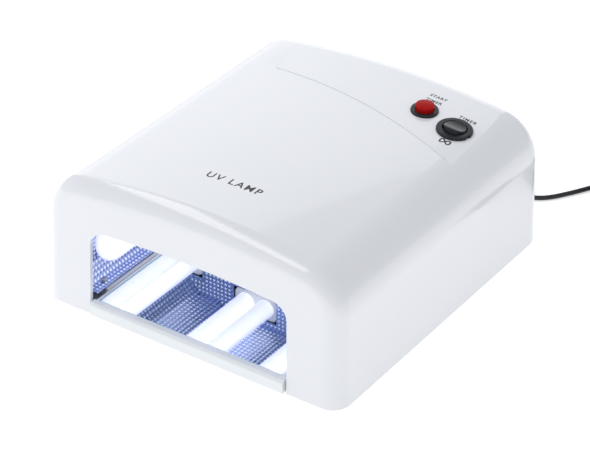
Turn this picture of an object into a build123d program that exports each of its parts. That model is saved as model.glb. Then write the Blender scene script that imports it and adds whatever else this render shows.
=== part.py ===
from build123d import *
import math
import os

# UV curing lamp: a domed white hood over a mirror-floored drawer tray, with four plug-in twin-tube
# lamps in an embossed aluminium reflector and the ballasts and timer in a bay behind it.
#
# Frame, in millimetres: +Z up, the open front faces -Y, the mains cord leaves the rear at +Y.
# The origin is on the table, in the middle of the lamp's own plan box (the cord doesn't count).

os.makedirs("parts", exist_ok=True)

# ---- Driving dimensions -------------------------------------------------------------------------

# Casing
WIDTH = 218.0            # over the bottom edges of the two sides
DEPTH = 235.0            # front face to rear face at the bottom edge
HEIGHT = 94.0            # bottom edge to the top of the crown
SIDE_DRAFT = 2.0         # each side leans in by this over the height
FRONT_LEAN = 4.0         # the front face leans back by this over the height
REAR_LEAN = 1.0
CROWN_DROP = 9.5         # fall of the crowned top from its middle to the side planes
SHOULDER_RADIUS = 30.0   # between the crown and each side
FRONT_ROUND = 12.0       # all round the outline of the front face
REAR_ROUND = 16.0
WALL = 2.5
FOOT_HEIGHT = 1.5        # the feet lift the casing's bottom edge by this
LID_GAP = 0.3            # between the base frame's edge and the casing wall

# Hand opening in the front face
OPENING_WIDTH = 145.0    # at the bottom edge
OPENING_TAPER = 1.2      # each side closes in by this up to the top corners
OPENING_HEIGHT = 61.8    # bottom edge to the middle of its arched top
OPENING_CROWN = 3.2
OPENING_CORNER = 11.0

# Switch panel: a shallow step across the rear of the top, fading towards the rear
STEP_DEPTH = 0.75
STEP_LEFT = (-72.6, 68.6)
STEP_MIDDLE = (14.0, 55.7)
STEP_RIGHT = (100.0, 29.5)
STEP_FULL_Y = 58.75      # where the panel lies STEP_DEPTH under the crown
STEP_FADE_Y = 110.0      # where it meets the crown
STEP_RAMP_SHIFT = 30.0   # sideways shift of the crown's cylinder that makes the ramp at the left end
GROOVE_LAND = 0.6        # between the groove and the step
GROOVE_WIDTH = 0.8
GROOVE_DEPTH = 0.4
GROOVE_ENDS = (-62.0, 86.0)
CUTTER_SPARE = 10.0      # how far a cutter reaches past what it cuts
SEAT_SINK = 0.15         # spot faces that give the two switches a flat seat

# Base frame and its fasteners
FLOOR = 2.5
SCREW_RADIUS = 1.5
SCREW_LENGTH = 14.0
SCREW_HEAD_RADIUS = 2.8
SCREW_HEAD = 1.6
SCREW_GAP = 0.05         # round a shank
HEAD_GAP = 0.3           # round a head
PAD_HEIGHT = 1.5
POST_RADIUS = 4.0
POST_HEIGHT = 32.0
POST_INSET = 10.0        # post centre from the casing's widest line
POST_ROWS = (-103.0, 16.0, 100.0)
FOOT_RADIUS = 6.0
FOOT_SINK = 1.0
FOOT_INSET_X = 24.0      # foot centre from the side of the casing
FOOT_INSET_Y = 22.0

# Drawer tray with its mirror
LIP_PROUD = 2.0          # the lip stands proud of the front face
LIP_HEIGHT = 9.5
LIP_ROUND = 2.5
LIP_GAP = 0.7            # at each end of the lip, to the opening
TRAY_SINK = 0.3          # running gap below and beside the tray
TRAY_SKIN = 2.2
TRAY_RIM = 1.6
MIRROR = 0.8
MIRROR_SINK = 0.4        # mirror face below the lip's top
STRIP = 3.0              # flat strip behind the rounded lip, in front of the mirror
TRAY_REAR = -12.0        # rear edge of the tray when shut
RAIL = 2.0
STOP_RIB = 2.5           # height and thickness of the stop that catches the tray

# Reflector
SHEET = 0.8
HOOD_FLOOR = 12.0        # underside of the hood's flanges
HOOD_FLANGE = (72.0, 80.0)
HOOD_WIDE = 88.0
HOOD_LOW = 22.0
HOOD_HIGH = 48.0
HOOD_SHOULDER = (77.0, 64.5)
HOOD_TOP = 72.0
HOOD_BEND = 5.0
HOOD_SHOULDER_BEND = 10.0
HOOD_FRONT = -109.5
HOOD_REAR = -7.0
HOOD_SCREW_ROWS = (-96.0, -22.0)
REAR_LAP = 4.0           # the rear panel laps past the hood's edge

# Lamps: twin tubes on two-pin bases
TUBE_RADIUS = 6.25
TUBE_WALL = 1.0
TUBE_PITCH = 15.2
TUBE_TIP = -98.0
TUBE_SEAT = 6.0          # how far the glass enters the base
BASE_FRONT = -6.0
BASE_SIZE = (32.0, 20.0, 17.0)     # across both tubes, along the lamp, through
BASE_CORNER = 4.0
POST_SIZE = (17.5, 19.0, 10.5)
PIN_RADIUS = 1.2
PIN_SPACING = 23.0
PIN_LENGTH = 7.0
PIN_ROOT = 5.0
SIDE_LAMP = (78.7, 36.2)           # X and Z of the upright pairs
TOP_LAMP = (28.0, 58.0)            # X and Z of the level pairs
WINDOW_GAP = 0.6
HOLDER_SIZE = (36.0, 24.0, 21.0)
HOLDER_GAP = 0.3

# Electronics bay
BRACKET = 1.2
BRACKET_WIDTH = 188.0
BRACKET_TOP = 70.0
BRACKET_FOOT = 12.0
LEAD_HOLE = 4.0
BOARD = 1.6
BOARD_SIZE = (34.0, 54.0)
BOARD_Y = 79.0
BOARD_PITCH = 36.0
BOARD_LIFT = 5.0
BOARD_SCREW_IN = 3.5     # screw centre from a board's edges
CONNECTOR_X = 8.0        # connector from a board's middle line
TIMER_BOARD_SIZE = (36.0, 34.0)
TIMER_BOARD_Z = 43.0
SPACER = 4.8
TERMINAL_BLOCK = (22.0, 24.0, 16.0)
TERMINAL_PLACE = (76.0, 74.0)
LEAD_RADIUS = 1.4

# Start button, in a frame on the panel with its own Z along the press
START_PLACE = (45.9, 72.3)
START_BEZEL_RADIUS = 8.8
START_BEZEL = 1.6
START_BARREL_RADIUS = 7.6
START_BARREL = 12.0
START_CAP_RADIUS = 6.0
START_CAP_GAP = 0.3
START_CAP_TOP = 5.2
START_CAP_SKIRT = 3.0
START_CAP_WALL = 1.3
START_STEM_RADIUS = 2.0
START_TRAVEL = 2.2
STEM_GAP = 0.05
SPRING_WIRE = 0.3
SPRING_TURNS = 5

# Timer rocker, in a frame on the panel
ROCKER_PLACE = (71.5, 66.0)
ROCKER_BEZEL_RADIUS = 11.5
ROCKER_BEZEL = 2.0
ROCKER_BARREL_RADIUS = 9.9
ROCKER_BARREL = 14.0
ROCKER_BORE_RADIUS = 8.1
ROCKER_CAP_RADIUS = 7.3
ROCKER_BALL_RADIUS = 7.4
ROCKER_PIVOT = 0.5
ROCKER_RIDGE = 2.1       # valley of the cap above its pivot
ROCKER_SWING = 24.0      # from one side pressed to the other
ROCKER_PIN_RADIUS = 0.75
PIVOT_GAP = 0.05
PANEL_GAP = 0.2          # round the barrels in the panel

# Mains cord
CORD_RADIUS = 1.6
CORD_EXIT_X = 22.0
CORD_EXIT_Z = 13.0
RELIEF_LENGTH = 20.0
RELIEF_RADIUS = 4.0
RELIEF_FLANGE = 1.6
CORD_ROUTE = (           # x, y and the clearance under the cord
    (22.6, 145.5, 10.9), (26.0, 152.8, 9.2), (32.0, 158.2, 6.6), (39.6, 160.4, 3.8), (47.4, 159.2, 1.6),
    (54.8, 155.8, 0.4), (62.1, 152.5, 0.05), (70.5, 150.7, 0.0), (78.9, 151.7, 0.0), (86.3, 154.7, 0.0),
    (92.5, 160.7, 0.0), (97.7, 168.5, 0.0), (102.5, 176.2, 0.0), (106.9, 184.3, 0.0),
)
RELIEF_GROOVES = 5
RELIEF_GROOVE_PITCH = 3.0
RELIEF_GROOVE = 1.2
RELIEF_GROOVE_START = 4.0
COIL_MIDDLE = (137.3, 189.5)
COIL_INNER_TURN = 13.3   # radius of the innermost turn's centre line
COIL_OUTER_TURN = 23.2
COIL_LAYERS = 4
COIL_ENTRY = 148.5       # degrees round the coil where the cord runs on to it
COIL_EXIT = 20.0         # degrees round the coil where it leaves for the plug
TAIL_RUNS = (8.0, 16.0, 25.0)  # along the tail: level, down to the plug, into its boot

# Plug
PLUG_OUTLINE = ((-17.6, 4), (-13, -10), (-5, -19), (5, -19), (13, -10), (17.6, 4), (17.6, 14), (-17.6, 14))
PLUG_THICK = 13.7
PLUG_CORNER = 3.0
PLUG_ROUND = 2.0
PLUG_BOOT_RADIUS = 3.4
PLUG_BOOT = (-26.0, -17.0)
PLUG_PIN_RADIUS = 2.0
PLUG_PIN_LENGTH = 19.0
PLUG_PIN_SPACING = 19.0
PLUG_PIN_TIP = 1.2
PLUG_ROOT_RADIUS = 1.6
PLUG_ROOT = 6.0
PLUG_FACE = 14.0

# ---- Places that follow from them ---------------------------------------------------------------

CENTRE_Y = LIP_PROUD / 2
Y_FRONT = CENTRE_Y - DEPTH / 2
Y_REAR = CENTRE_Y + DEPTH / 2
Z_EDGE = FOOT_HEIGHT
Z_CROWN = Z_EDGE + HEIGHT
Z_FLOOR = Z_EDGE + FLOOR
CROWN_EDGE_X = WIDTH / 2 - SIDE_DRAFT
CROWN_RADIUS = (CROWN_EDGE_X**2 + CROWN_DROP**2) / (2 * CROWN_DROP)
MIDDLE = (Align.CENTER, Align.CENTER, Align.MIN)

parts = {}


# ---- Small helpers ------------------------------------------------------------------------------


def slab(x, y, z):
    """Box between three (low, high) pairs."""
    size = [high - low for low, high in (x, y, z)]
    return Pos(*[(low + high) / 2 for low, high in (x, y, z)]) * Box(*size)


def rod(radius, start, end):
    """Cylinder between two points."""
    way = Vector(*end) - Vector(*start)
    return Plane(origin=start, z_dir=way) * Cylinder(radius, way.length, align=MIDDLE)


def prism_y(face, low_y, high_y):
    """Face in the XZ plane made solid between two Y values."""
    return Pos(0, high_y, 0) * extrude(face, amount=high_y - low_y, dir=(0, -1, 0))


def joined(shapes):
    """One shape from touching or separate ones."""
    shapes = list(shapes)
    return shapes[0].fuse(*shapes[1:]) if len(shapes) > 1 else shapes[0]


def group(shapes):
    """Separate solids kept together as one node."""
    return Compound(children=[Solid(s.wrapped) if isinstance(s, Solid) else s.solid() for s in shapes])


def mirrored_x(points):
    return [(-x, *rest) for x, *rest in points]


def lead(radius, points, bend):
    """Round wire along straight runs with rounded corners."""
    path = FilletPolyline(*points, radius=bend)
    return sweep((path ^ 0) * Circle(radius), path=path)


def screw(place, way, length=SCREW_LENGTH, radius=SCREW_RADIUS, head=SCREW_HEAD_RADIUS):
    """Pan-head screw: place is under the head, way is where the shank points."""
    at = Plane(origin=place, z_dir=way)
    cap = Pos(0, 0, -SCREW_HEAD) * Cylinder(head, SCREW_HEAD, align=MIDDLE)
    cap = fillet(cap.edges().sort_by(Axis.Z)[0], SCREW_HEAD / 3)
    shank = Cylinder(radius, length, align=MIDDLE)
    slot_x = Pos(0, 0, -SCREW_HEAD) * Box(head * 1.1, 0.7, 1.2)
    slot_y = Pos(0, 0, -SCREW_HEAD) * Box(0.7, head * 1.1, 1.2)
    return at * (cap + shank - slot_x - slot_y)


# ---- Casing -------------------------------------------------------------------------------------


def crown_height(x, inset=0.0):
    return Z_CROWN - CROWN_RADIUS + math.sqrt((CROWN_RADIUS - inset) ** 2 - x**2)


def side_x(z, inset=0.0):
    return WIDTH / 2 - inset - SIDE_DRAFT * (z - Z_EDGE) / HEIGHT


def front_y(z, inset=0.0):
    return Y_FRONT + inset + FRONT_LEAN * (z - Z_EDGE) / HEIGHT


def rear_y(z, inset=0.0):
    return Y_REAR - inset - REAR_LEAN * (z - Z_EDGE) / HEIGHT


def casing_form(inset, bottom):
    """The casing's rounded form, drawn in by inset all round and carried down to bottom."""
    shoulder_x = CROWN_EDGE_X - inset
    shoulder_z = crown_height(shoulder_x, inset)
    low_x = side_x(bottom, inset)
    sides = Polyline((shoulder_x, shoulder_z), (low_x, bottom), (-low_x, bottom), (-shoulder_x, shoulder_z))
    crown = ThreePointArc((-shoulder_x, shoulder_z), (0, crown_height(0, inset)), (shoulder_x, shoulder_z))
    section = make_face(Plane.XZ * (sides + crown))
    section = fillet(section.vertices().sort_by(Axis.Z)[-2:], SHOULDER_RADIUS - inset)
    form = extrude(section, amount=DEPTH, both=True)
    top = Z_CROWN + 1
    profile = Polyline(
        (front_y(bottom, inset), bottom), (rear_y(bottom, inset), bottom),
        (rear_y(top, inset), top), (front_y(top, inset), top), close=True,
    )
    form = form & extrude(make_face(Plane.YZ * profile), amount=WIDTH, both=True)
    ends = form.faces().sort_by(Axis.Y)
    for face, radius in ((ends[0], FRONT_ROUND), (ends[-1], REAR_ROUND)):
        edges = [e for e in face.edges() if e.center().Z > bottom + 1]
        form = form.fillet(radius - inset, edges)
    return form


def opening_cutter():
    """Arched hand opening, straight through the front wall."""
    half_low = OPENING_WIDTH / 2
    half_high = half_low - OPENING_TAPER
    corner_z = Z_EDGE + OPENING_HEIGHT - OPENING_CROWN
    low_z = Z_EDGE - 1
    outline = Polyline((half_high, corner_z), (half_low, low_z), (-half_low, low_z), (-half_high, corner_z))
    arch = ThreePointArc((-half_high, corner_z), (0, Z_EDGE + OPENING_HEIGHT), (half_high, corner_z))
    face = make_face(Plane.XZ * (outline + arch))
    face = fillet(face.vertices().sort_by(Axis.Z)[-2:], OPENING_CORNER)
    return prism_y(face, Y_FRONT - FRONT_ROUND, Y_FRONT + FRONT_ROUND)


def panel_tilt():
    """Angle by which the stepped panel rises towards the rear, in degrees."""
    return math.degrees(math.atan(STEP_DEPTH / (STEP_FADE_Y - STEP_FULL_Y)))


def panel_frame(place):
    """Frame on the stepped panel at (x, y), its Z straight out of the panel."""
    x, y = place
    slope = math.degrees(math.asin(x / CROWN_RADIUS))
    z = crown_height(x) - (STEP_FADE_Y - y) * math.tan(math.radians(panel_tilt()))
    tilted = Location((x, y, z)) * Location((0, 0, 0), (panel_tilt(), 0, 0))
    return tilted * Location((0, 0, 0), (0, slope, 0))


def above_crown(region):
    """Tall block over a plan region, from well under the crown's edge to over its top."""
    low = Pos(0, 0, Z_CROWN - CROWN_DROP - CUTTER_SPARE)
    return low * extrude(make_face(region), amount=CROWN_DROP + 2 * CUTTER_SPARE)


def crown_cylinder():
    """Lying cylinder of the crown's radius, its axis along Y."""
    return Rot(90, 0, 0) * Cylinder(CROWN_RADIUS, 2 * DEPTH)


def step_line(back):
    """The step's front line, moved by back towards the rear."""
    return ThreePointArc(*((x, y + back) for x, y in (STEP_LEFT, STEP_MIDDLE, STEP_RIGHT)))


def step_cutter():
    """Everything above the stepped panel, behind its front line; at the left it runs out on a ramp."""
    far_y = Y_REAR + CUTTER_SPARE
    left = STEP_LEFT[0] - CUTTER_SPARE
    right = WIDTH / 2 + CUTTER_SPARE
    rest = Polyline(STEP_RIGHT, (right, far_y), (left, far_y), (left, STEP_LEFT[1]), STEP_LEFT)
    floor = Pos(0, STEP_FADE_Y, Z_CROWN - CROWN_RADIUS) * Rot(panel_tilt(), 0, 0) * crown_cylinder()
    shifted = math.sqrt(CROWN_RADIUS**2 - (STEP_LEFT[0] + STEP_RAMP_SHIFT) ** 2)
    ramp = Pos(-STEP_RAMP_SHIFT, 0, crown_height(STEP_LEFT[0]) - shifted) * crown_cylinder()
    return above_crown(step_line(0) + rest) - floor - ramp


def groove_cutter():
    """Fine groove just in front of the step's front line."""
    front, rear = step_line(-GROOVE_LAND - GROOVE_WIDTH), step_line(-GROOVE_LAND)
    ends = Line(front @ 0, rear @ 0) + Line(front @ 1, rear @ 1)
    floor = Pos(0, 0, Z_CROWN - CROWN_RADIUS - GROOVE_DEPTH) * crown_cylinder()
    return (above_crown(front + rear + ends) - floor) & slab(GROOVE_ENDS, (-DEPTH, DEPTH), (0, 2 * HEIGHT))


def post_places():
    return [(sign * (WIDTH / 2 - POST_INSET), y) for sign in (-1, 1) for y in POST_ROWS]


def casing_posts():
    """Screw posts that stand on the base frame's pads, each tied to the side wall by a rib."""
    bottom = Z_FLOOR + PAD_HEIGHT
    for x, y in post_places():
        wall_x = math.copysign(side_x(Z_FLOOR, WALL / 2), x)
        post = rod(POST_RADIUS, (x, y, bottom), (x, y, bottom + POST_HEIGHT))
        rib = slab(sorted((x, wall_x)), (y - 1, y + 1), (bottom, bottom + POST_HEIGHT))
        hole = rod(SCREW_RADIUS + SCREW_GAP, (x, y, bottom - 1), (x, y, bottom + SCREW_LENGTH))
        yield (post + rib) - hole


def vent_slots():
    """Two groups of upright slots in the rear wall."""
    for side in (-1, 1):
        for i in range(8):
            x = side * (48 + 5.5 * i)
            slot = Box(2.4, 4 * WALL, 24 - 2.4) + Pos(0, 0, 10.8) * Rot(90, 0, 0) * Cylinder(1.2, 4 * WALL)
            slot = slot + Pos(0, 0, -10.8) * Rot(90, 0, 0) * Cylinder(1.2, 4 * WALL)
            yield Pos(x, Y_REAR - 1.5, 46) * slot


def top_shell():
    shell = casing_form(0, Z_EDGE) - casing_form(WALL, Z_EDGE - 3) - opening_cutter()
    shell = shell - step_cutter() - groove_cutter()
    shell = joined([shell, *casing_posts()])
    for place, bezel, barrel in (
        (START_PLACE, START_BEZEL_RADIUS, START_BARREL_RADIUS),
        (ROCKER_PLACE, ROCKER_BEZEL_RADIUS, ROCKER_BARREL_RADIUS),
    ):
        at = panel_frame(place)
        shell = shell - at * Pos(0, 0, -SEAT_SINK) * Cylinder(bezel + PANEL_GAP, 5, align=MIDDLE)
        shell = shell - at * Cylinder(barrel + PANEL_GAP, 4 * WALL)
    for slot in vent_slots():
        shell = shell - slot
    before, beyond = (CORD_EXIT_X, Y_REAR - 10, CORD_EXIT_Z), (CORD_EXIT_X, Y_REAR + 5, CORD_EXIT_Z)
    exit_hole = rod(RELIEF_RADIUS, before, beyond)
    return shell - exit_hole


# ---- Base frame, feet and screws ----------------------------------------------------------------


def foot_places():
    x = WIDTH / 2 - FOOT_INSET_X
    return [(sx * x, CENTRE_Y + sy * (DEPTH / 2 - FOOT_INSET_Y)) for sx in (-1, 1) for sy in (-1, 1)]


def hood_screw_places():
    x = (HOOD_FLANGE[0] + HOOD_FLANGE[1]) / 2 + 1.5
    return [(sign * x, y) for sign in (-1, 1) for y in HOOD_SCREW_ROWS]


def board_centres():
    return [(BOARD_PITCH * i, BOARD_Y) for i in (-2, -1, 0, 1)]


def board_screw_places():
    dx, dy = BOARD_SIZE[0] / 2 - BOARD_SCREW_IN, BOARD_SIZE[1] / 2 - BOARD_SCREW_IN
    return [(x + s * dx, y + s * dy) for x, y in board_centres() for s in (-1, 1)]


def bracket_screw_places():
    y = bracket_y() + BRACKET + BRACKET_FOOT / 2
    return [(x, y) for x in (-60.0, 60.0)]


def bracket_y():
    return BASE_FRONT + BASE_SIZE[1] + HOLDER_SIZE[1]


def tray_half():
    """Half the width of the tray's floor between the rails."""
    return OPENING_WIDTH / 2 - OPENING_TAPER / 2 - LIP_GAP - TRAY_RIM


def base_frame():
    floor = slab((-WIDTH, WIDTH), (-DEPTH, DEPTH), (Z_EDGE, Z_FLOOR))
    frame = casing_form(WALL + LID_GAP, Z_EDGE - 3) & floor
    adds, cuts = [], []
    for x, y in post_places():
        adds.append(rod(POST_RADIUS, (x, y, Z_FLOOR - 1), (x, y, Z_FLOOR + PAD_HEIGHT)))
        cuts.append(rod(SCREW_RADIUS + SCREW_GAP, (x, y, 0), (x, y, Z_FLOOR + PAD_HEIGHT + 1)))
        cuts.append(rod(SCREW_HEAD_RADIUS + HEAD_GAP, (x, y, 0), (x, y, Z_EDGE + SCREW_HEAD)))
    for x, y in foot_places():
        cuts.append(rod(FOOT_RADIUS, (x, y, 0), (x, y, Z_EDGE + FOOT_SINK)))
    rail_front, rail_rear = front_y(Z_EDGE, WALL + LID_GAP) + FRONT_ROUND, TRAY_REAR + 4
    inner = tray_half() + TRAY_SINK
    for sign in (-1, 1):
        sides = sorted((sign * inner, sign * (inner + RAIL)))
        adds.append(slab(sides, (rail_front, rail_rear), (Z_FLOOR - 1, HOOD_FLOOR)))
    for x, y in hood_screw_places():
        adds.append(rod(2.6, (x, y, Z_FLOOR - 1), (x, y, HOOD_FLOOR)))
        cuts.append(rod(1.0 + SCREW_GAP, (x, y, HOOD_FLOOR - 6), (x, y, HOOD_FLOOR + 1)))
    rib_y = stop_rib_y()
    adds.append(slab((-30, 30), (rib_y, rib_y + STOP_RIB), (Z_FLOOR - 1, Z_FLOOR + STOP_RIB)))
    for x, y in board_screw_places():
        adds.append(rod(2.6, (x, y, Z_FLOOR - 1), (x, y, Z_FLOOR + BOARD_LIFT)))
        cuts.append(rod(1.0 + SCREW_GAP, (x, y, Z_FLOOR - 0.5), (x, y, Z_FLOOR + BOARD_LIFT + 1)))
    for x, y in bracket_screw_places():
        cuts.append(rod(1.0 + SCREW_GAP, (x, y, Z_EDGE + 0.6), (x, y, Z_FLOOR + 1)))
    for i in range(8):
        x = -64 + 16.0 * i
        cuts.append(slab((x - 1.5, x + 1.5), (62, 96), (Z_EDGE - 1, Z_FLOOR + 1)))
    frame = frame.fuse(*adds)
    return frame.cut(*cuts)


def rubber_feet():
    for x, y in foot_places():
        foot = rod(FOOT_RADIUS, (x, y, 0), (x, y, Z_EDGE + FOOT_SINK))
        yield fillet(foot.edges().sort_by(Axis.Z)[0], 0.5)


def stop_rib_y():
    return front_y(Z_EDGE, WALL + LID_GAP) + 6.0


# ---- Drawer tray --------------------------------------------------------------------------------


def tray_travel():
    """How far the tray runs out before its rear web meets the stop rib."""
    web_front = TRAY_REAR - TRAY_SKIN
    return web_front - (stop_rib_y() + STOP_RIB) - LID_GAP


def tray_levels():
    """Underside of the lip, underside of the tray's floor, seat of the mirror, top of the lip."""
    top = Z_EDGE + LIP_HEIGHT
    mirror_seat = top - MIRROR_SINK - MIRROR
    return Z_EDGE + TRAY_SINK, mirror_seat - TRAY_SKIN, mirror_seat, top


def slide_tray():
    low, floor_z, mirror_z, top = tray_levels()
    half = tray_half()
    lip_half = half + TRAY_RIM
    lip_front = Y_FRONT - LIP_PROUD
    front_wall = front_y(Z_EDGE, WALL + LID_GAP) - TRAY_SINK
    strip_rear = lip_front + LIP_ROUND + STRIP
    lip = slab((-lip_half, lip_half), (lip_front, front_wall), (low, top))
    lip = fillet(lip.edges().filter_by(Axis.X).group_by(Axis.Y)[0].sort_by(Axis.Z)[-1], LIP_ROUND)
    lip = fillet(lip.edges().filter_by(Axis.X).group_by(Axis.Y)[0].sort_by(Axis.Z)[0], 0.6)
    strip = slab((-lip_half, lip_half), (front_wall - 1, strip_rear), (floor_z, top))
    floor = slab((-half, half), (strip_rear - 1, TRAY_REAR), (floor_z, mirror_z))
    pieces = [lip, strip, floor]
    run_low = Z_FLOOR + TRAY_SINK
    for sign in (-1, 1):
        rim_x = sorted((sign * half, sign * (half - TRAY_RIM)))
        pieces.append(slab(rim_x, (strip_rear - 1, TRAY_REAR), (run_low, top)))
    web_y = (TRAY_REAR - TRAY_SKIN, TRAY_REAR)
    pieces.append(slab((-half, half), web_y, (run_low, mirror_z)))
    return joined(pieces)


def tray_mirror():
    _, _, mirror_z, _ = tray_levels()
    half = tray_half() - TRAY_RIM
    strip_rear = Y_FRONT - LIP_PROUD + LIP_ROUND + STRIP
    return slab((-half, half), (strip_rear, TRAY_REAR), (mirror_z, mirror_z + MIRROR))


# ---- Reflector ----------------------------------------------------------------------------------


def hood_section(grow):
    """Inside outline of the reflector hood in the XZ plane, grown outwards by grow."""
    low = HOOD_FLOOR + SHEET
    right = [HOOD_SHOULDER, (HOOD_WIDE, HOOD_HIGH), (HOOD_WIDE, HOOD_LOW), (HOOD_FLANGE[1], low)]
    left = mirrored_x(reversed(right))
    outline = Polyline(*right, *left)
    arch = ThreePointArc(left[-1], (0, HOOD_TOP), right[0])
    face = make_face(Plane.XZ * (outline + arch))
    upper = [v for v in face.vertices() if v.Z > HOOD_HIGH + 1]
    face = fillet(upper, HOOD_SHOULDER_BEND)
    bends = [v for v in face.vertices() if abs(abs(v.X) - HOOD_WIDE) < 0.01]
    face = fillet([v for v in bends if abs(v.Z - HOOD_LOW) < 0.01 or abs(v.Z - HOOD_HIGH) < 0.01], HOOD_BEND)
    return offset(face, amount=grow) if grow else face


def reflector_hood():
    outer = prism_y(hood_section(SHEET), HOOD_FRONT, HOOD_REAR)
    inner = prism_y(hood_section(0), HOOD_FRONT - 1, HOOD_REAR + 1)
    mouth = slab((-HOOD_FLANGE[0], HOOD_FLANGE[0]), (HOOD_FRONT - 1, HOOD_REAR + 1), (0, HOOD_FLOOR + 2))
    hood = outer - inner - mouth
    for x, y in hood_screw_places():
        hood = hood - rod(1.0 + SCREW_GAP, (x, y, HOOD_FLOOR - 1), (x, y, HOOD_FLOOR + 3))
    return hood


def reflector_rear():
    plate = prism_y(hood_section(SHEET + REAR_LAP), HOOD_REAR, HOOD_REAR + SHEET)
    gap = WINDOW_GAP
    for at in lamp_frames():
        plate = plate - at * Box(BASE_SIZE[0] + 2 * gap, 3 * BASE_SIZE[1], BASE_SIZE[2] + 2 * gap)
    return plate


# ---- Lamps: drawn along Y, both tubes side by side along X --------------------------------------


def lamp_frames():
    """The four lamps from left to right: upright, level, level, upright."""
    upright = Location((0, 0, 0), (0, 90, 0))
    return [
        Location((-SIDE_LAMP[0], 0, SIDE_LAMP[1])) * upright,
        Location((-TOP_LAMP[0], 0, TOP_LAMP[1])),
        Location((TOP_LAMP[0], 0, TOP_LAMP[1])),
        Location((SIDE_LAMP[0], 0, SIDE_LAMP[1])) * upright,
    ]


def twin_tube():
    """Hollow glass U: two limbs and a round bend at the tip, open inside the base."""
    bend_y = TUBE_TIP + TUBE_RADIUS + TUBE_PITCH / 2
    end_y = BASE_FRONT + TUBE_SEAT
    half = TUBE_PITCH / 2
    limbs = [Line((-half, end_y, 0), (-half, bend_y, 0)), Line((half, bend_y, 0), (half, end_y, 0))]
    bend = ThreePointArc((-half, bend_y, 0), (0, bend_y - half, 0), (half, bend_y, 0))
    path = limbs[0] + bend + limbs[1]
    start = Plane(origin=(-half, end_y, 0), z_dir=(0, -1, 0))
    return sweep(start * (Circle(TUBE_RADIUS) - Circle(TUBE_RADIUS - TUBE_WALL)), path=path)


def pin_places():
    rear = BASE_FRONT + BASE_SIZE[1]
    sides = (-PIN_SPACING / 2, PIN_SPACING / 2)
    return [((x, rear - PIN_ROOT, 0), (x, rear + PIN_LENGTH, 0)) for x in sides]


def lamp_base():
    across, along, through = BASE_SIZE
    block = Pos(0, BASE_FRONT + along / 2, 0) * Box(across, along, through)
    block = fillet(block.edges().filter_by(Axis.Y), BASE_CORNER)
    post = Pos(0, BASE_FRONT + along + POST_SIZE[1] / 2, 0) * Box(*POST_SIZE)
    post = fillet(post.edges().filter_by(Axis.Y), 1.5)
    base = block + post
    for side in (-1, 1):
        x = side * TUBE_PITCH / 2
        base = base - rod(TUBE_RADIUS, (x, BASE_FRONT - 1, 0), (x, BASE_FRONT + TUBE_SEAT, 0))
    for start, end in pin_places():
        base = base - rod(PIN_RADIUS, start, end)
    return base


def lamp_holder():
    across, along, through = HOLDER_SIZE
    front = BASE_FRONT + BASE_SIZE[1]
    block = Pos(0, front + along / 2, 0) * Box(across, along, through)
    block = fillet(block.edges().filter_by(Axis.Y), 2.0)
    well = (POST_SIZE[0] + 2 * HOLDER_GAP, POST_SIZE[1] + HOLDER_GAP, POST_SIZE[2] + 2 * HOLDER_GAP)
    block = block - Pos(0, front + well[1] / 2 - 0.5, 0) * Box(well[0], well[1] + 1, well[2])
    for (x, _, z), (_, end, _) in pin_places():
        block = block - rod(PIN_RADIUS + 0.1, (x, front - 1, z), (x, end + 0.5, z))
    return block


# ---- Electronics bay ----------------------------------------------------------------------------


def lamp_bracket():
    """Steel plate behind the lamp holders, on a foot screwed to the base frame."""
    y, half = bracket_y(), BRACKET_WIDTH / 2
    plate = slab((-half, half), (y, y + BRACKET), (Z_FLOOR, BRACKET_TOP))
    plate = fillet(plate.edges().filter_by(Axis.Y).group_by(Axis.Z)[-1], 8)
    foot = slab((-half + 14, half - 14), (y, y + BRACKET + BRACKET_FOOT), (Z_FLOOR, Z_FLOOR + BRACKET))
    bracket = plate + foot
    for at in lamp_frames():
        centre = at.position
        bracket = bracket - rod(LEAD_HOLE, (centre.X, y - 1, centre.Z), (centre.X, y + BRACKET + 1, centre.Z))
    for x, hole_y in bracket_screw_places():
        bracket = bracket - rod(1.0 + SCREW_GAP, (x, hole_y, 0), (x, hole_y, Z_FLOOR + BRACKET + 1))
    for x, z in timer_spacer_places():
        bracket = bracket - rod(1.0 + SCREW_GAP, (x, y - 1, z), (x, y + BRACKET + 1, z))
    return bracket


def ballast_board(centre):
    x, y = centre
    low = Z_FLOOR + BOARD_LIFT
    half_x, half_y = BOARD_SIZE[0] / 2, BOARD_SIZE[1] / 2
    board = slab((x - half_x, x + half_x), (y - half_y, y + half_y), (low, low + BOARD))
    dx, dy = BOARD_SIZE[0] / 2 - BOARD_SCREW_IN, BOARD_SIZE[1] / 2 - BOARD_SCREW_IN
    for s in (-1, 1):
        board = board - rod(1.0 + SCREW_GAP, (x + s * dx, y + s * dy, 0), (x + s * dx, y + s * dy, low + 5))
    return board


def board_top():
    return Z_FLOOR + BOARD_LIFT + BOARD


def ballast_inductors():
    for x, y in board_centres():
        z = board_top()
        core = slab((x - 8, x + 8), (y - 9, y + 5), (z, z + 4))
        core = core + slab((x - 8, x + 8), (y - 9, y + 5), (z + 10, z + 14))
        yield core + rod(6.5, (x, y - 2, z), (x, y - 2, z + 14))


def ballast_capacitors():
    for x, y in board_centres():
        z = board_top()
        can = rod(5.0, (x - 6, y + 16, z), (x - 6, y + 16, z + 18))
        yield fillet(can.edges().sort_by(Axis.Z)[-1], 0.8)


def ballast_transistors():
    for x, y in board_centres():
        z = board_top()
        for dx in (3.0, 11.0):
            yield slab((x + dx - 2.4, x + dx + 2.4), (y + 12, y + 15.6), (z, z + 9))


def ballast_connectors():
    for x, y in board_centres():
        z = board_top()
        yield slab((x + CONNECTOR_X - 4, x + CONNECTOR_X + 4), (y - 21, y - 14), (z, z + 6))


def timer_board_y():
    return bracket_y() + BRACKET + SPACER


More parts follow.
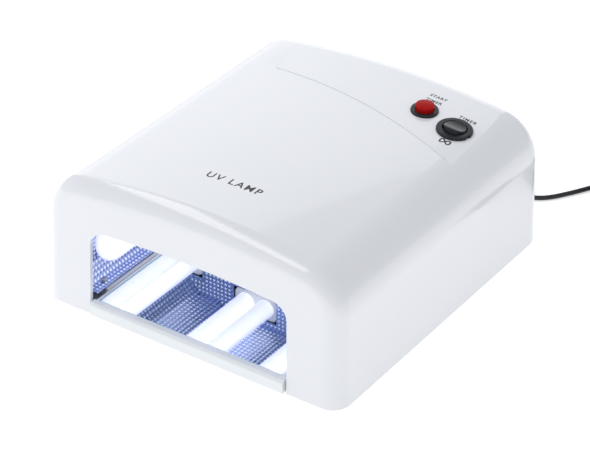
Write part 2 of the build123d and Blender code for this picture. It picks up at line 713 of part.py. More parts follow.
def timer_spacer_places():
    dx, dz = TIMER_BOARD_SIZE[0] / 2 - BOARD_SCREW_IN, TIMER_BOARD_SIZE[1] / 2 - BOARD_SCREW_IN
    return [(s * dx, TIMER_BOARD_Z + s * dz) for s in (-1, 1)]


def timer_board():
    y = timer_board_y()
    dx, dz = TIMER_BOARD_SIZE[0] / 2, TIMER_BOARD_SIZE[1] / 2
    board = slab((-dx, dx), (y, y + BOARD), (TIMER_BOARD_Z - dz, TIMER_BOARD_Z + dz))
    for x, z in timer_spacer_places():
        board = board - rod(1.0 + SCREW_GAP, (x, y - 1, z), (x, y + BOARD + 1, z))
    return board


def timer_spacers():
    y = bracket_y() + BRACKET
    for x, z in timer_spacer_places():
        bore = rod(1.0 + SCREW_GAP, (x, y - 1, z), (x, y + SPACER + 1, z))
        yield rod(2.5, (x, y, z), (x, y + SPACER, z)) - bore


def timer_relay():
    y = timer_board_y() + BOARD
    case = slab((-9, 9), (y, y + 12), (TIMER_BOARD_Z - 13, TIMER_BOARD_Z + 1))
    return fillet(case.edges().filter_by(Axis.Y), 1)


def timer_chip():
    y = timer_board_y() + BOARD
    return slab((-5, 5), (y, y + 2.4), (TIMER_BOARD_Z + 5, TIMER_BOARD_Z + 12))


def board_screws():
    """Short screws of the ballast boards, the reflector hood, the bracket's foot and the timer board."""
    for x, y in board_screw_places():
        yield screw((x, y, board_top()), (0, 0, -1), BOARD + BOARD_LIFT - 0.5, 1.0, 2.0)
    for x, y in hood_screw_places():
        yield screw((x, y, HOOD_FLOOR + SHEET), (0, 0, -1), SHEET + 5, 1.0, 2.0)
    for x, y in bracket_screw_places():
        yield screw((x, y, Z_FLOOR + BRACKET), (0, 0, -1), BRACKET + FLOOR - 0.8, 1.0, 2.0)
    y = timer_board_y() + BOARD
    for x, z in timer_spacer_places():
        yield screw((x, y, z), (0, -1, 0), BOARD + SPACER + BRACKET, 1.0, 2.0)


def terminal_block():
    (x, y), (wide, long, high) = TERMINAL_PLACE, TERMINAL_BLOCK
    block = slab((x - wide / 2, x + wide / 2), (y - long / 2, y + long / 2), (Z_FLOOR, Z_FLOOR + high))
    for dx in (-5.5, 5.5):
        for dy in (-6.5, 6.5):
            top = Z_FLOOR + high
            block = block - rod(2.4, (x + dx, y + dy, top - 5), (x + dx, y + dy, top + 1))
    return fillet(block.edges().filter_by(Axis.Y).group_by(Axis.Z)[-1], 1.2)


def terminal_screws():
    (x, y), high = TERMINAL_PLACE, TERMINAL_BLOCK[2]
    z = Z_FLOOR + high - 5
    for dx in (-5.5, 5.5):
        for dy in (-6.5, 6.5):
            head = rod(2.2, (x + dx, y + dy, z), (x + dx, y + dy, z + 3))
            yield head - slab((x + dx - 2.5, x + dx + 2.5), (y + dy - 0.35, y + dy + 0.35), (z + 2, z + 4))


def lamp_leads():
    """One lead from each ballast's connector up to the back of its lamp holder."""
    for (x, y), at in zip(board_centres(), lamp_frames()):
        start = (x + CONNECTOR_X, y - 17.5, board_top() + 6)
        over = (x + CONNECTOR_X, y - 17.5, at.position.Z - 7)
        turn = (at.position.X, bracket_y() + 9, at.position.Z)
        yield lead(LEAD_RADIUS, [start, over, turn, (at.position.X, bracket_y(), at.position.Z)], 3.0)


def inner_mains_lead():
    """The cord's inner end, from the strain relief round to the terminal block."""
    x, y = TERMINAL_PLACE
    points = [
        (CORD_EXIT_X, relief_inner_y(), CORD_EXIT_Z), (CORD_EXIT_X, relief_inner_y() - 5, CORD_EXIT_Z),
        (x, relief_inner_y() - 5, Z_FLOOR + 8), (x, y + TERMINAL_BLOCK[1] / 2, Z_FLOOR + 8),
    ]
    return lead(CORD_RADIUS, points, 3.2)


# ---- Start button, drawn in its own frame -------------------------------------------------------


def start_floor():
    """Floor of the start button's well."""
    return -(START_CAP_SKIRT + START_TRAVEL + 0.6)


def start_bezel():
    bezel = Cylinder(START_BEZEL_RADIUS, START_BEZEL, align=MIDDLE)
    bezel = fillet(bezel.edges().sort_by(Axis.Z)[-1], 0.6)
    bezel = bezel + Pos(0, 0, -START_BARREL) * Cylinder(START_BARREL_RADIUS, START_BARREL, align=MIDDLE)
    well = Pos(0, 0, start_floor()) * Cylinder(START_CAP_RADIUS + START_CAP_GAP, 20, align=MIDDLE)
    return bezel - well - Cylinder(START_STEM_RADIUS + STEM_GAP, 60)


def start_cap():
    tall = START_CAP_SKIRT + START_CAP_TOP
    cap = Pos(0, 0, -START_CAP_SKIRT) * Cylinder(START_CAP_RADIUS, tall, align=MIDDLE)
    cap = fillet(cap.edges().sort_by(Axis.Z)[-1], 1.0)
    dome = Pos(0, 0, START_CAP_TOP - 30.0) * Sphere(30.0)
    cap = cap & (dome + Pos(0, 0, -START_CAP_SKIRT - 1) * Cylinder(START_CAP_RADIUS, 5, align=MIDDLE))
    inside = Cylinder(START_CAP_RADIUS - START_CAP_WALL, START_CAP_SKIRT + 1 + 3, align=MIDDLE)
    hollow = Pos(0, 0, -START_CAP_SKIRT - 1) * inside
    stem = Pos(0, 0, -START_BARREL) * Cylinder(START_STEM_RADIUS, START_BARREL + 3, align=MIDDLE)
    return cap - hollow + stem


def start_spring():
    """Return spring between the well's floor and the crown of the cap."""
    radius = START_CAP_RADIUS - START_CAP_WALL - 0.9
    low, high = start_floor() + SPRING_WIRE + 0.05, 3 - SPRING_WIRE - 0.05
    coil = Helix(pitch=(high - low) / SPRING_TURNS, height=high - low, radius=radius)
    wire = sweep(Plane(origin=coil @ 0, z_dir=coil % 0) * Circle(SPRING_WIRE), path=coil, is_frenet=True)
    return Pos(0, 0, low) * wire


def start_nut():
    """Ring nut under the panel."""
    top = -WALL - 2 * SEAT_SINK
    nut = Pos(0, 0, top - 2.5) * extrude(RegularPolygon(START_BARREL_RADIUS + 3.2, 6), amount=2.5)
    return nut - Cylinder(START_BARREL_RADIUS + STEM_GAP, 40)


def start_switch():
    """Contact housing under the barrel, with a well for the stem."""
    low = -START_BARREL - 9
    body = Pos(0, 0, low) * Cylinder(START_BARREL_RADIUS - 1.6, 9, align=MIDDLE)
    well = Cylinder(START_STEM_RADIUS + 0.5, 9, align=MIDDLE)
    return body - Pos(0, 0, -START_BARREL - START_TRAVEL - 1) * well


def start_terminals():
    low = -START_BARREL - 9
    for x in (-2.8, 2.8):
        yield slab((x - 0.25, x + 0.25), (-1.2, 1.2), (low - 6, low))


# ---- Timer rocker, drawn in its own frame -------------------------------------------------------


def rocker_bezel():
    bezel = Cylinder(ROCKER_BEZEL_RADIUS, ROCKER_BEZEL, align=MIDDLE)
    bezel = fillet(bezel.edges().sort_by(Axis.Z)[-1], 0.9)
    bezel = bezel + Pos(0, 0, -ROCKER_BARREL) * Cylinder(ROCKER_BARREL_RADIUS, ROCKER_BARREL, align=MIDDLE)
    bezel = bezel - Pos(0, 0, 2 - ROCKER_BARREL) * Cylinder(ROCKER_BORE_RADIUS, 40, align=MIDDLE)
    notch = Rot(0, 0, -13) * Pos(ROCKER_BEZEL_RADIUS, 0, ROCKER_BEZEL / 2) * Box(1.6, 3.0, ROCKER_BEZEL + 1)
    for x in (-4.0, 4.0):
        bezel = bezel - slab((x - 0.4, x + 0.4), (-2.4, 2.4), (-ROCKER_BARREL - 1, 3 - ROCKER_BARREL))
    return bezel - notch - rocker_pin()


def rocker_pin():
    reach = (ROCKER_BORE_RADIUS + ROCKER_BARREL_RADIUS) / 2
    return rod(ROCKER_PIN_RADIUS, (-reach, 0, ROCKER_PIVOT), (reach, 0, ROCKER_PIVOT))


def rocker_cap():
    """Cap with a ball-shaped underside, drawn level and then set with its rear edge pressed in."""
    half_swing = math.radians(ROCKER_SWING / 2)
    reach = ROCKER_CAP_RADIUS + 1
    rim = ROCKER_RIDGE + reach * math.tan(half_swing)
    dish = Polyline((reach, rim), (reach, 9), (-reach, 9), (-reach, rim)) + ThreePointArc(
        (-reach, rim), (0, ROCKER_RIDGE), (reach, rim)
    )
    body = Cylinder(ROCKER_CAP_RADIUS, rim, align=MIDDLE)
    body = body - extrude(make_face(Plane.YZ * dish), amount=2 * reach, both=True)
    body = body.fillet(0.5, body.edges().sort_by(Axis.Z)[-1:])
    body = body + (Sphere(ROCKER_BALL_RADIUS) & slab((-9, 9), (-9, 9), (-4.5, 1.0)))
    body = body - rod(ROCKER_PIN_RADIUS + PIVOT_GAP, (-reach, 0, 0), (reach, 0, 0))
    return Pos(0, 0, ROCKER_PIVOT) * Rot(-ROCKER_SWING / 2, 0, 0) * body


def rocker_terminals():
    for x in (-4.0, 4.0):
        yield slab((x - 0.4, x + 0.4), (-2.4, 2.4), (-ROCKER_BARREL - 8, 2.5 - ROCKER_BARREL))


def switch_leads():
    """Leads from the rocker and the start button to the terminal block."""
    x, y = TERMINAL_PLACE
    top = Z_FLOOR + TERMINAL_BLOCK[2]
    for place, drop, side in ((ROCKER_PLACE, ROCKER_BARREL + 8, 4.0), (START_PLACE, START_BARREL + 15, 2.8)):
        end = panel_frame(place) * Pos(side, 0, -drop)
        start = tuple(end.position)
        middle = (start[0] + 2, start[1] + 4, start[2] - 14)
        land = (x - 3 + side, y - 1 + side / 2, top)
        yield lead(LEAD_RADIUS / 2, [start, middle, (land[0], land[1], top + 9), land], 2.0)


# ---- Cord ---------------------------------------------------------------------------------------



def relief_inner_y():
    """Where the relief's inner flange ends inside the casing."""
    return Y_REAR - WALL - REAR_LEAN - RELIEF_FLANGE


def relief_end():
    return (CORD_EXIT_X, Y_REAR + RELIEF_LENGTH, CORD_EXIT_Z)


def strain_relief():
    """Tapered sleeve through the rear wall, with a flange against it and a groove pattern outside."""
    flange_y = relief_inner_y() + RELIEF_FLANGE
    inside = rod(RELIEF_RADIUS, (CORD_EXIT_X, flange_y, CORD_EXIT_Z), (CORD_EXIT_X, Y_REAR, CORD_EXIT_Z))
    inner_flange = rod(
        RELIEF_RADIUS + 1.5,
        (CORD_EXIT_X, relief_inner_y(), CORD_EXIT_Z),
        (CORD_EXIT_X, flange_y, CORD_EXIT_Z),
    )
    at = Plane(origin=(CORD_EXIT_X, Y_REAR, CORD_EXIT_Z), z_dir=(0, 1, 0))
    taper = at * Cone(RELIEF_RADIUS + 1.2, CORD_RADIUS + 0.7, RELIEF_LENGTH, align=MIDDLE)
    sleeve = inside + inner_flange + taper
    for i in range(RELIEF_GROOVES):
        low = Y_REAR + RELIEF_GROOVE_START + RELIEF_GROOVE_PITCH * i
        high = low + RELIEF_GROOVE
        wide = rod(2 * RELIEF_RADIUS, (CORD_EXIT_X, low, CORD_EXIT_Z), (CORD_EXIT_X, high, CORD_EXIT_Z))
        before, beyond = (CORD_EXIT_X, low - 1, CORD_EXIT_Z), (CORD_EXIT_X, high + 1, CORD_EXIT_Z)
        core = rod(CORD_RADIUS + 1.0, before, beyond)
        sleeve = sleeve - (wide - core)
    return sleeve


def coil_point(degrees, z):
    """Point on the coil's outermost turn."""
    turn = math.radians(degrees)
    x, y = COIL_MIDDLE
    return (x + COIL_OUTER_TURN * math.cos(turn), y + COIL_OUTER_TURN * math.sin(turn), z)


def cord_radii(points):
    """Corner radii as large as the two runs at each corner allow."""
    radii = []
    for before, here, after in zip(points, points[1:], points[2:]):
        first, second = Vector(*here) - Vector(*before), Vector(*after) - Vector(*here)
        half_turn = math.radians(first.get_angle(second)) / 2
        radii.append(0.45 * min(first.length, second.length) / math.tan(half_turn))
    return radii


def flex(points):
    """Cord through points, its corners rounded as cord_radii says."""
    radii = cord_radii(points)
    print("cord radii", [round(r, 1) for r in radii])
    path = FilletPolyline(*points, radius=radii)
    tube = sweep((path ^ 0) * Circle(CORD_RADIUS), path=path)
    print("cord volume over section times length", tube.volume / (math.pi * CORD_RADIUS**2 * path.length))
    return tube


def mains_cord():
    route = [(x, y, clearance + CORD_RADIUS) for x, y, clearance in CORD_ROUTE]
    return flex([relief_end(), *route, coil_point(COIL_ENTRY, CORD_RADIUS)])


def coil_height():
    return 2 * CORD_RADIUS * COIL_LAYERS


def tail_heading():
    """Direction in which the cord leaves the coil, whose turns run clockwise seen from above."""
    turn = math.radians(COIL_EXIT)
    return Vector(math.sin(turn), -math.cos(turn), 0)


def tail_point(run, z):
    return tuple(Vector(*coil_point(COIL_EXIT, z)) + tail_heading() * run)


def cord_coil():
    """Ring that the wound turns fill, with the tail that runs off its top layer down to the plug."""
    outer, inner = COIL_OUTER_TURN + CORD_RADIUS, COIL_INNER_TURN - CORD_RADIUS
    ring = Cylinder(outer, coil_height(), align=MIDDLE) - Cylinder(inner, 3 * coil_height())
    level, down, end = TAIL_RUNS
    top, low = coil_height() - CORD_RADIUS, PLUG_THICK / 2
    tail = flex([tail_point(0, top), tail_point(level, top), tail_point(down, low), tail_point(end, low)])
    return Pos(*COIL_MIDDLE, 0) * ring + tail


def plug_frame():
    """Frame of the plug lying flat past the tail, its own Y along the pins."""
    origin = tail_point(TAIL_RUNS[-1] - PLUG_BOOT[0], PLUG_THICK / 2)
    return Location(origin) * Location((0, 0, 0), (0, 0, COIL_EXIT - 180))


def pin_sides():
    return (-PLUG_PIN_SPACING / 2, PLUG_PIN_SPACING / 2)


def plug_body():
    body = extrude(make_face(Polyline(*PLUG_OUTLINE, close=True)), amount=PLUG_THICK / 2, both=True)
    body = body.fillet(PLUG_CORNER, body.edges().filter_by(Axis.Z))
    body = body.fillet(PLUG_ROUND, body.edges().group_by(Axis.Z)[-1] + body.edges().group_by(Axis.Z)[0])
    body = body + rod(PLUG_BOOT_RADIUS, (0, PLUG_BOOT[0], 0), (0, PLUG_BOOT[1], 0))
    for x in pin_sides():
        body = body - rod(PLUG_ROOT_RADIUS, (x, PLUG_FACE - PLUG_ROOT, 0), (x, PLUG_FACE + 1, 0))
    return body


def plug_pins():
    for x in pin_sides():
        pin = rod(PLUG_PIN_RADIUS, (x, PLUG_FACE, 0), (x, PLUG_FACE + PLUG_PIN_LENGTH, 0))
        pin = fillet(pin.edges().sort_by(Axis.Y)[-1], PLUG_PIN_TIP)
        yield pin + rod(PLUG_ROOT_RADIUS, (x, PLUG_FACE - PLUG_ROOT, 0), (x, PLUG_FACE, 0))


# ---- Every node ---------------------------------------------------------------------------------


def build_all():
    parts["top_shell"] = top_shell()
    parts["base_frame"] = base_frame()
    parts["rubber_feet"] = group(rubber_feet())
    head_z = Z_EDGE + SCREW_HEAD
    parts["casing_screws"] = group(screw((x, y, head_z), (0, 0, 1)) for x, y in post_places())
    parts["slide_tray"] = slide_tray()
    parts["tray_mirror"] = tray_mirror()
    parts["reflector_hood"] = reflector_hood()
    parts["reflector_rear"] = reflector_rear()
    tube, base, holder = twin_tube(), lamp_base(), lamp_holder()
    for number, at in enumerate(lamp_frames(), start=1):
        parts[f"uv_tube_{number}"] = at * tube
        parts[f"lamp_base_{number}"] = at * base
        parts[f"lamp_holder_{number}"] = at * holder
    parts["lamp_pins"] = group(at * rod(PIN_RADIUS, *ends) for at in lamp_frames() for ends in pin_places())
    parts["lamp_bracket"] = lamp_bracket()
    for number, centre in enumerate(board_centres(), start=1):
        parts[f"ballast_board_{number}"] = ballast_board(centre)
    parts["ballast_inductors"] = group(ballast_inductors())
    parts["ballast_capacitors"] = group(ballast_capacitors())
    parts["ballast_transistors"] = group(ballast_transistors())
    parts["ballast_connectors"] = group(ballast_connectors())
    parts["timer_board"] = timer_board()
    parts["timer_spacers"] = group(timer_spacers())
    parts["timer_relay"] = timer_relay()
    parts["timer_chip"] = timer_chip()
    parts["board_screws"] = group(board_screws())
    parts["terminal_block"] = terminal_block()
    parts["terminal_screws"] = group(terminal_screws())
    parts["lamp_leads"] = group(lamp_leads())
    parts["switch_leads"] = group(switch_leads())
    parts["inner_mains_lead"] = inner_mains_lead()
    start_at = panel_frame(START_PLACE) * Pos(0, 0, -SEAT_SINK)
    parts["start_bezel"] = start_at * start_bezel()
    parts["start_cap"] = start_at * start_cap()
    parts["start_spring"] = start_at * start_spring()
    parts["start_nut"] = start_at * start_nut()
    parts["start_switch"] = start_at * start_switch()
    parts["start_terminals"] = group(start_at * s for s in start_terminals())
    rocker_at = panel_frame(ROCKER_PLACE) * Pos(0, 0, -SEAT_SINK)
    parts["rocker_bezel"] = rocker_at * rocker_bezel()
    parts["rocker_cap"] = rocker_at * rocker_cap()
    parts["rocker_pin"] = rocker_at * rocker_pin()
    parts["rocker_terminals"] = group(rocker_at * s for s in rocker_terminals())
    parts["strain_relief"] = strain_relief()
    parts["mains_cord"] = mains_cord()
    parts["cord_coil"] = cord_coil()
    parts["plug_body"] = plug_frame() * plug_body()
    parts["plug_pins"] = group(plug_frame() * s for s in plug_pins())


def write_all():
    for name, shape in parts.items():
        export_step(shape, f"parts/{name}.step")


build_all()
write_all()
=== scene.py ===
"""Looks of a tabletop UV curing lamp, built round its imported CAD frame.

Sizes in the dataclasses are millimetres in the CAD frame: +Z up, the hand opening faces -Y, +X to the right.
"""

import logging
import math
from dataclasses import dataclass
from enum import Enum

import bpy
import numpy as np
from mathutils import Matrix, Vector


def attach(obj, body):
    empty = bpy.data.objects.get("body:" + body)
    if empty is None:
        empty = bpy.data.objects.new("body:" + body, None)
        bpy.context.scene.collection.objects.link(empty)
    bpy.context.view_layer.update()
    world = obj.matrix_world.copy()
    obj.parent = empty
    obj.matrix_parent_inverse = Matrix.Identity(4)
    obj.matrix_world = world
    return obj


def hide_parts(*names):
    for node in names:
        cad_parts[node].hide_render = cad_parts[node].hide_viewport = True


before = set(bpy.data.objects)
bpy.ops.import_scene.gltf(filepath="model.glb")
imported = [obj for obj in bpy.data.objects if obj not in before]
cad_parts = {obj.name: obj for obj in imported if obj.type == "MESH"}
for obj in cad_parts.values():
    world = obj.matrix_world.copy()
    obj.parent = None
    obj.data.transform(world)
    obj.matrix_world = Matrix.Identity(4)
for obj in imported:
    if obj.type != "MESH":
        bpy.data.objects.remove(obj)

LOG = logging.getLogger("uv_lamp")
MM = 0.001
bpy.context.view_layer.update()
EMBOSS = "emboss"


# ---- Shader graphs ------------------------------------------------------------------------------


class Graph:
    """Adds nodes to one shader tree and joins them by socket name."""

    def __init__(self, tree: bpy.types.NodeTree) -> None:
        """Keep the tree that nodes are added to.

        Args:
            tree: A material's node tree or a node group.
        """
        self.tree = tree

    def add(self, kind: str, settings: dict | None = None, **inputs: object) -> bpy.types.Node:
        """Add one node.

        Args:
            kind: The node's type name without its ShaderNode prefix.
            settings: Attributes of the node itself, such as an operation.
            **inputs: Socket values or output sockets by socket name, spaces as underscores.

        Returns:
            The new node.
        """
        node = self.tree.nodes.new(kind if kind.startswith("Node") else f"ShaderNode{kind}")
        for name, value in (settings or {}).items():
            setattr(node, name, value)
        for name, value in inputs.items():
            numbered = name[0] == "n" and name[1:].isdigit()
            socket = node.inputs[int(name[1:]) if numbered else name.replace("_", " ")]
            if isinstance(value, bpy.types.NodeSocket):
                self.tree.links.new(value, socket)
            else:
                socket.default_value = value
        return node

    def math(self, operation: str, first: object, second: object = 0.0) -> bpy.types.NodeSocket:
        """Output of a Math node on two numbers or sockets.

        Args:
            operation: Blender's name of the operation.
            first: A number or a socket.
            second: A number or a socket.

        Returns:
            The node's output.
        """
        return self.add("Math", {"operation": operation}, n0=first, n1=second).outputs[0]

    def ramp(
        self, value: object, low: float, high: float, to_low: float = 0.0, to_high: float = 1.0
    ) -> bpy.types.NodeSocket:
        """Value carried from low..high to to_low..to_high, and held at the ends.

        Args:
            value: The socket to carry over.
            low: Value that gives to_low.
            high: Value that gives to_high.
            to_low: Result at low and under it.
            to_high: Result at high and over it.

        Returns:
            The node's output.
        """
        node = self.add("MapRange", {"clamp": True}, n0=value, n1=low, n2=high, n3=to_low, n4=to_high)
        return node.outputs[0]

    def mix(self, amount: object, first: object, second: object) -> bpy.types.NodeSocket:
        """Colour between first and second by amount.

        Args:
            amount: Share of the second colour, from 0 to 1.
            first: A colour or a socket.
            second: A colour or a socket.

        Returns:
            The mixed colour.
        """
        return self.add("Mix", {"data_type": "RGBA"}, n0=amount, n6=first, n7=second).outputs[2]


class GroupName(Enum):
    """Shader groups that several finishes share."""

    MOULDED = "moulded_surface"
    HANDLING = "handling_marks"
    BRUSHED = "brushed_lines"


def new_group(
    name: GroupName, inputs: dict[str, float], outputs: dict[str, str]
) -> tuple[Graph, bpy.types.Node, bpy.types.Node]:
    """Make an empty shader group with its sockets.

    Args:
        name: Which group.
        inputs: Input names with their default numbers.
        outputs: Output names with their socket types.

    Returns:
        The group's graph, its input node and its output node.
    """
    tree = bpy.data.node_groups.new(name.value, "ShaderNodeTree")
    for key, value in inputs.items():
        tree.interface.new_socket(key, in_out="INPUT", socket_type="NodeSocketFloat").default_value = value
    for key, kind in outputs.items():
        tree.interface.new_socket(key, in_out="OUTPUT", socket_type=kind)
    graph = Graph(tree)
    return graph, graph.add("NodeGroupInput"), graph.add("NodeGroupOutput")


def build_moulded_group() -> None:
    """Moulded plastic: soft flow shading of the colour and a fine grain of height."""
    graph, inside, out = new_group(
        GroupName.MOULDED,
        {"Grain Scale": 900.0, "Flow Scale": 9.0},
        {"Flow": "NodeSocketFloat", "Height": "NodeSocketFloat"},
    )
    place = graph.add("TexCoord").outputs["Object"]
    flow = graph.add("TexNoise", Vector=place, Scale=inside.outputs["Flow Scale"], Detail=2.0)
    grain = graph.add("TexNoise", Vector=place, Scale=inside.outputs["Grain Scale"], Detail=1.0)
    graph.tree.links.new(flow.outputs["Fac"], out.inputs["Flow"])
    graph.tree.links.new(grain.outputs["Fac"], out.inputs["Height"])


def build_handling_group() -> None:
    """Handling marks: sparse dust specks and faint smears, as a mask from 0 to 1."""
    graph, inside, out = new_group(
        GroupName.HANDLING,
        {"Speck Scale": 160.0, "Smear Scale": 14.0},
        {"Specks": "NodeSocketFloat", "Smears": "NodeSocketFloat"},
    )
    place = graph.add("TexCoord").outputs["Object"]
    specks = graph.add("TexVoronoi", Vector=place, Scale=inside.outputs["Speck Scale"], Randomness=1.0)
    speck = graph.ramp(specks.outputs["Distance"], 0.03, 0.09, 1.0, 0.0)
    stretched = graph.add("Mapping", Vector=place, Scale=(1.0, 3.0, 1.0), Rotation=(0.0, 0.0, 0.6))
    scale = inside.outputs["Smear Scale"]
    smear = graph.add("TexNoise", Vector=stretched.outputs[0], Scale=scale, Detail=3.0, Distortion=0.6)
    graph.tree.links.new(speck, out.inputs["Specks"])
    graph.tree.links.new(graph.ramp(smear.outputs["Fac"], 0.5, 0.75), out.inputs["Smears"])


def build_brushed_group() -> None:
    """Brushed metal: fine lines along X, as height and as a mask."""
    graph, inside, out = new_group(GroupName.BRUSHED, {"Line Scale": 700.0}, {"Lines": "NodeSocketFloat"})
    place = graph.add("TexCoord").outputs["Object"]
    drawn = graph.add("Mapping", Vector=place, Scale=(0.04, 1.0, 1.0))
    lines = graph.add("TexNoise", Vector=drawn.outputs[0], Scale=inside.outputs["Line Scale"], Detail=2.0)
    graph.tree.links.new(lines.outputs["Fac"], out.inputs["Lines"])


# ---- Finishes -----------------------------------------------------------------------------------


Colour = tuple[float, float, float]


def rgba(colour: Colour, factor: float = 1.0) -> tuple[float, float, float, float]:
    """Colour scaled by factor, with full alpha.

    Args:
        colour: Red, green and blue.
        factor: What each of them is multiplied by.

    Returns:
        Four values, the last of them 1.
    """
    return (colour[0] * factor, colour[1] * factor, colour[2] * factor, 1.0)


def new_material(name: str) -> tuple[bpy.types.Material, Graph, bpy.types.Node]:
    """Make a material with one Principled shader.

    Args:
        name: The material's name.

    Returns:
        The material, its graph and its Principled node.
    """
    material = bpy.data.materials.new(name)
    material.use_nodes = True
    graph = Graph(material.node_tree)
    return material, graph, material.node_tree.nodes["Principled BSDF"]


def group_node(graph: Graph, name: GroupName, **values: float) -> bpy.types.Node:
    """Place a shared group in a material with its own values.

    Args:
        graph: The material's graph.
        name: The shared group.
        values: Values of the group's inputs, with _ for a space.

    Returns:
        The placed group node.
    """
    node = graph.add("Group")
    node.node_tree = bpy.data.node_groups[name.value]
    for key, value in values.items():
        node.inputs[key.replace("_", " ")].default_value = value
    return node


def join(graph: Graph, source: bpy.types.NodeSocket, shader: bpy.types.Node, socket: str) -> None:
    """Link a source to one of a shader's sockets.

    Args:
        graph: The material's graph.
        source: The socket to link from.
        shader: The node to link to.
        socket: The name of that node's input.
    """
    graph.tree.links.new(source, shader.inputs[socket])


@dataclass(frozen=True)
class Plastic:
    """Moulded or dipped plastic, from gloss casing to matt rubber."""

    name: str
    colour: Colour
    roughness: float = 0.35
    grain_scale: float = 900.0
    grain_depth: float = 0.02
    flow: float = 0.03
    coat: float = 0.0
    smear: float = 0.08
    specular: float = 0.5

    def build(self) -> bpy.types.Material:
        """Build the material: flow shading, a fine grain, and smears that roughen it.

        Returns:
            The finished material.
        """
        material, graph, shader = new_material(self.name)
        moulded = group_node(graph, GroupName.MOULDED, Grain_Scale=self.grain_scale)
        marks = group_node(graph, GroupName.HANDLING)
        tone = graph.ramp(moulded.outputs["Flow"], 0.3, 0.7)
        colour = graph.mix(tone, rgba(self.colour, 1.0 - self.flow), rgba(self.colour, 1.0 + self.flow / 2))
        speck = graph.math("MULTIPLY", marks.outputs["Specks"], 0.06)
        join(graph, graph.mix(speck, colour, (0.45, 0.44, 0.42, 1.0)), shader, "Base Color")
        rough = graph.math("MULTIPLY", marks.outputs["Smears"], self.smear)
        join(graph, graph.math("ADD", rough, self.roughness), shader, "Roughness")
        height = moulded.outputs["Height"]
        bump = graph.add("Bump", Strength=1.0, Distance=self.grain_depth * MM, Height=height)
        join(graph, bump.outputs[0], shader, "Normal")
        shader.inputs["Coat Weight"].default_value = self.coat
        shader.inputs["Coat Roughness"].default_value = 0.04
        shader.inputs["Specular IOR Level"].default_value = self.specular
        return material


@dataclass(frozen=True)
class Metal:
    """Bare or plated metal with drawn lines."""

    name: str
    colour: Colour
    roughness: float = 0.3
    line_scale: float = 700.0
    line_depth: float = 0.004

    def build(self) -> bpy.types.Material:
        """Build the material: lines vary the roughness and stand up as height.

        Returns:
            The finished material.
        """
        material, graph, shader = new_material(self.name)
        lines = group_node(graph, GroupName.BRUSHED, Line_Scale=self.line_scale).outputs["Lines"]
        marks = group_node(graph, GroupName.HANDLING)
        tone = graph.ramp(lines, 0.3, 0.7)
        join(graph, graph.mix(tone, rgba(self.colour, 0.88), rgba(self.colour)), shader, "Base Color")
        rough = graph.ramp(lines, 0.3, 0.7, self.roughness, self.roughness + 0.12)
        smears = graph.math("MULTIPLY", marks.outputs["Smears"], 0.1)
        join(graph, graph.math("ADD", rough, smears), shader, "Roughness")
        shader.inputs["Metallic"].default_value = 1.0
        bump = graph.add("Bump", Strength=1.0, Distance=self.line_depth * MM, Height=lines)
        join(graph, bump.outputs[0], shader, "Normal")
        return material


@dataclass(frozen=True)
class EmbossedSheet:
    """Embossed bright aluminium with painted shade in the hollows between its bumps, and a painted blue cast
    of the lit tubes that is strongest in the hollows.
    """

    name: str
    shaded_valley_colour: Colour
    lamp_lit_crest_colour: Colour
    roughness: float = 0.16

    def build(self) -> bpy.types.Material:
        """Build the material: the colour follows the mesh's own height attribute, which is 0 in the valleys,
        so low points take the painted shade.

        Returns:
            The finished material.
        """
        material, graph, shader = new_material(self.name)
        marks = group_node(graph, GroupName.HANDLING)
        height = graph.add("Attribute", {"attribute_name": EMBOSS}).outputs["Fac"]
        # Painted shade and painted tube light: low points get the dark blue shaded colour, high points the
        # pale blue lamp-lit one.
        tone = graph.ramp(height, 0.08, 0.6)
        join(graph, graph.mix(tone, rgba(self.shaded_valley_colour), rgba(self.lamp_lit_crest_colour)), shader, "Base Color")
        rough = graph.math("MULTIPLY", marks.outputs["Smears"], 0.1)
        join(graph, graph.math("ADD", rough, self.roughness), shader, "Roughness")
        shader.inputs["Metallic"].default_value = 1.0
        return material


@dataclass(frozen=True)
class MirrorSheet:
    """Polished mirror in the tray, with faint smears."""

    name: str
    colour: Colour

    def build(self) -> bpy.types.Material:
        """Build the material: a metal mirror that smears dull a little.

        Returns:
            The finished material.
        """
        material, graph, shader = new_material(self.name)
        marks = group_node(graph, GroupName.HANDLING, Smear_Scale=9.0)
        colour = graph.mix(marks.outputs["Smears"], rgba(self.colour), rgba(self.colour, 0.97))
        join(graph, colour, shader, "Base Color")
        rough = graph.math("ADD", graph.math("MULTIPLY", marks.outputs["Smears"], 0.035), 0.02)
        join(graph, rough, shader, "Roughness")
        shader.inputs["Metallic"].default_value = 1.0
        return material


@dataclass(frozen=True)
class LitTube:
    """Frosted phosphor tube, alight: white along the middle, bluer where the glass turns away."""

    name: str
    glow: Colour
    rim: Colour
    strength: float

    def build(self) -> bpy.types.Material:
        """Build the material: satin glass whose glow fades towards its ends and its outline.

        Returns:
            The finished material.
        """
        material, graph, shader = new_material(self.name)
        moulded = group_node(graph, GroupName.MOULDED, Flow_Scale=40.0)
        tone = graph.ramp(moulded.outputs["Flow"], 0.3, 0.7)
        facing = graph.add("LayerWeight", Blend=0.35).outputs["Facing"]
        glow = graph.mix(graph.ramp(facing, 0.2, 0.85), rgba(self.glow), rgba(self.rim))
        patchy = graph.mix(graph.math("MULTIPLY", tone, 0.15), glow, rgba(self.rim))
        join(graph, patchy, shader, "Emission Color")
        join(graph, graph.mix(tone, (0.86, 0.86, 0.9, 1.0), (0.93, 0.93, 0.96, 1.0)), shader, "Base Color")
        shader.inputs["Emission Strength"].default_value = self.strength
        shader.inputs["Roughness"].default_value = 0.22
        return material


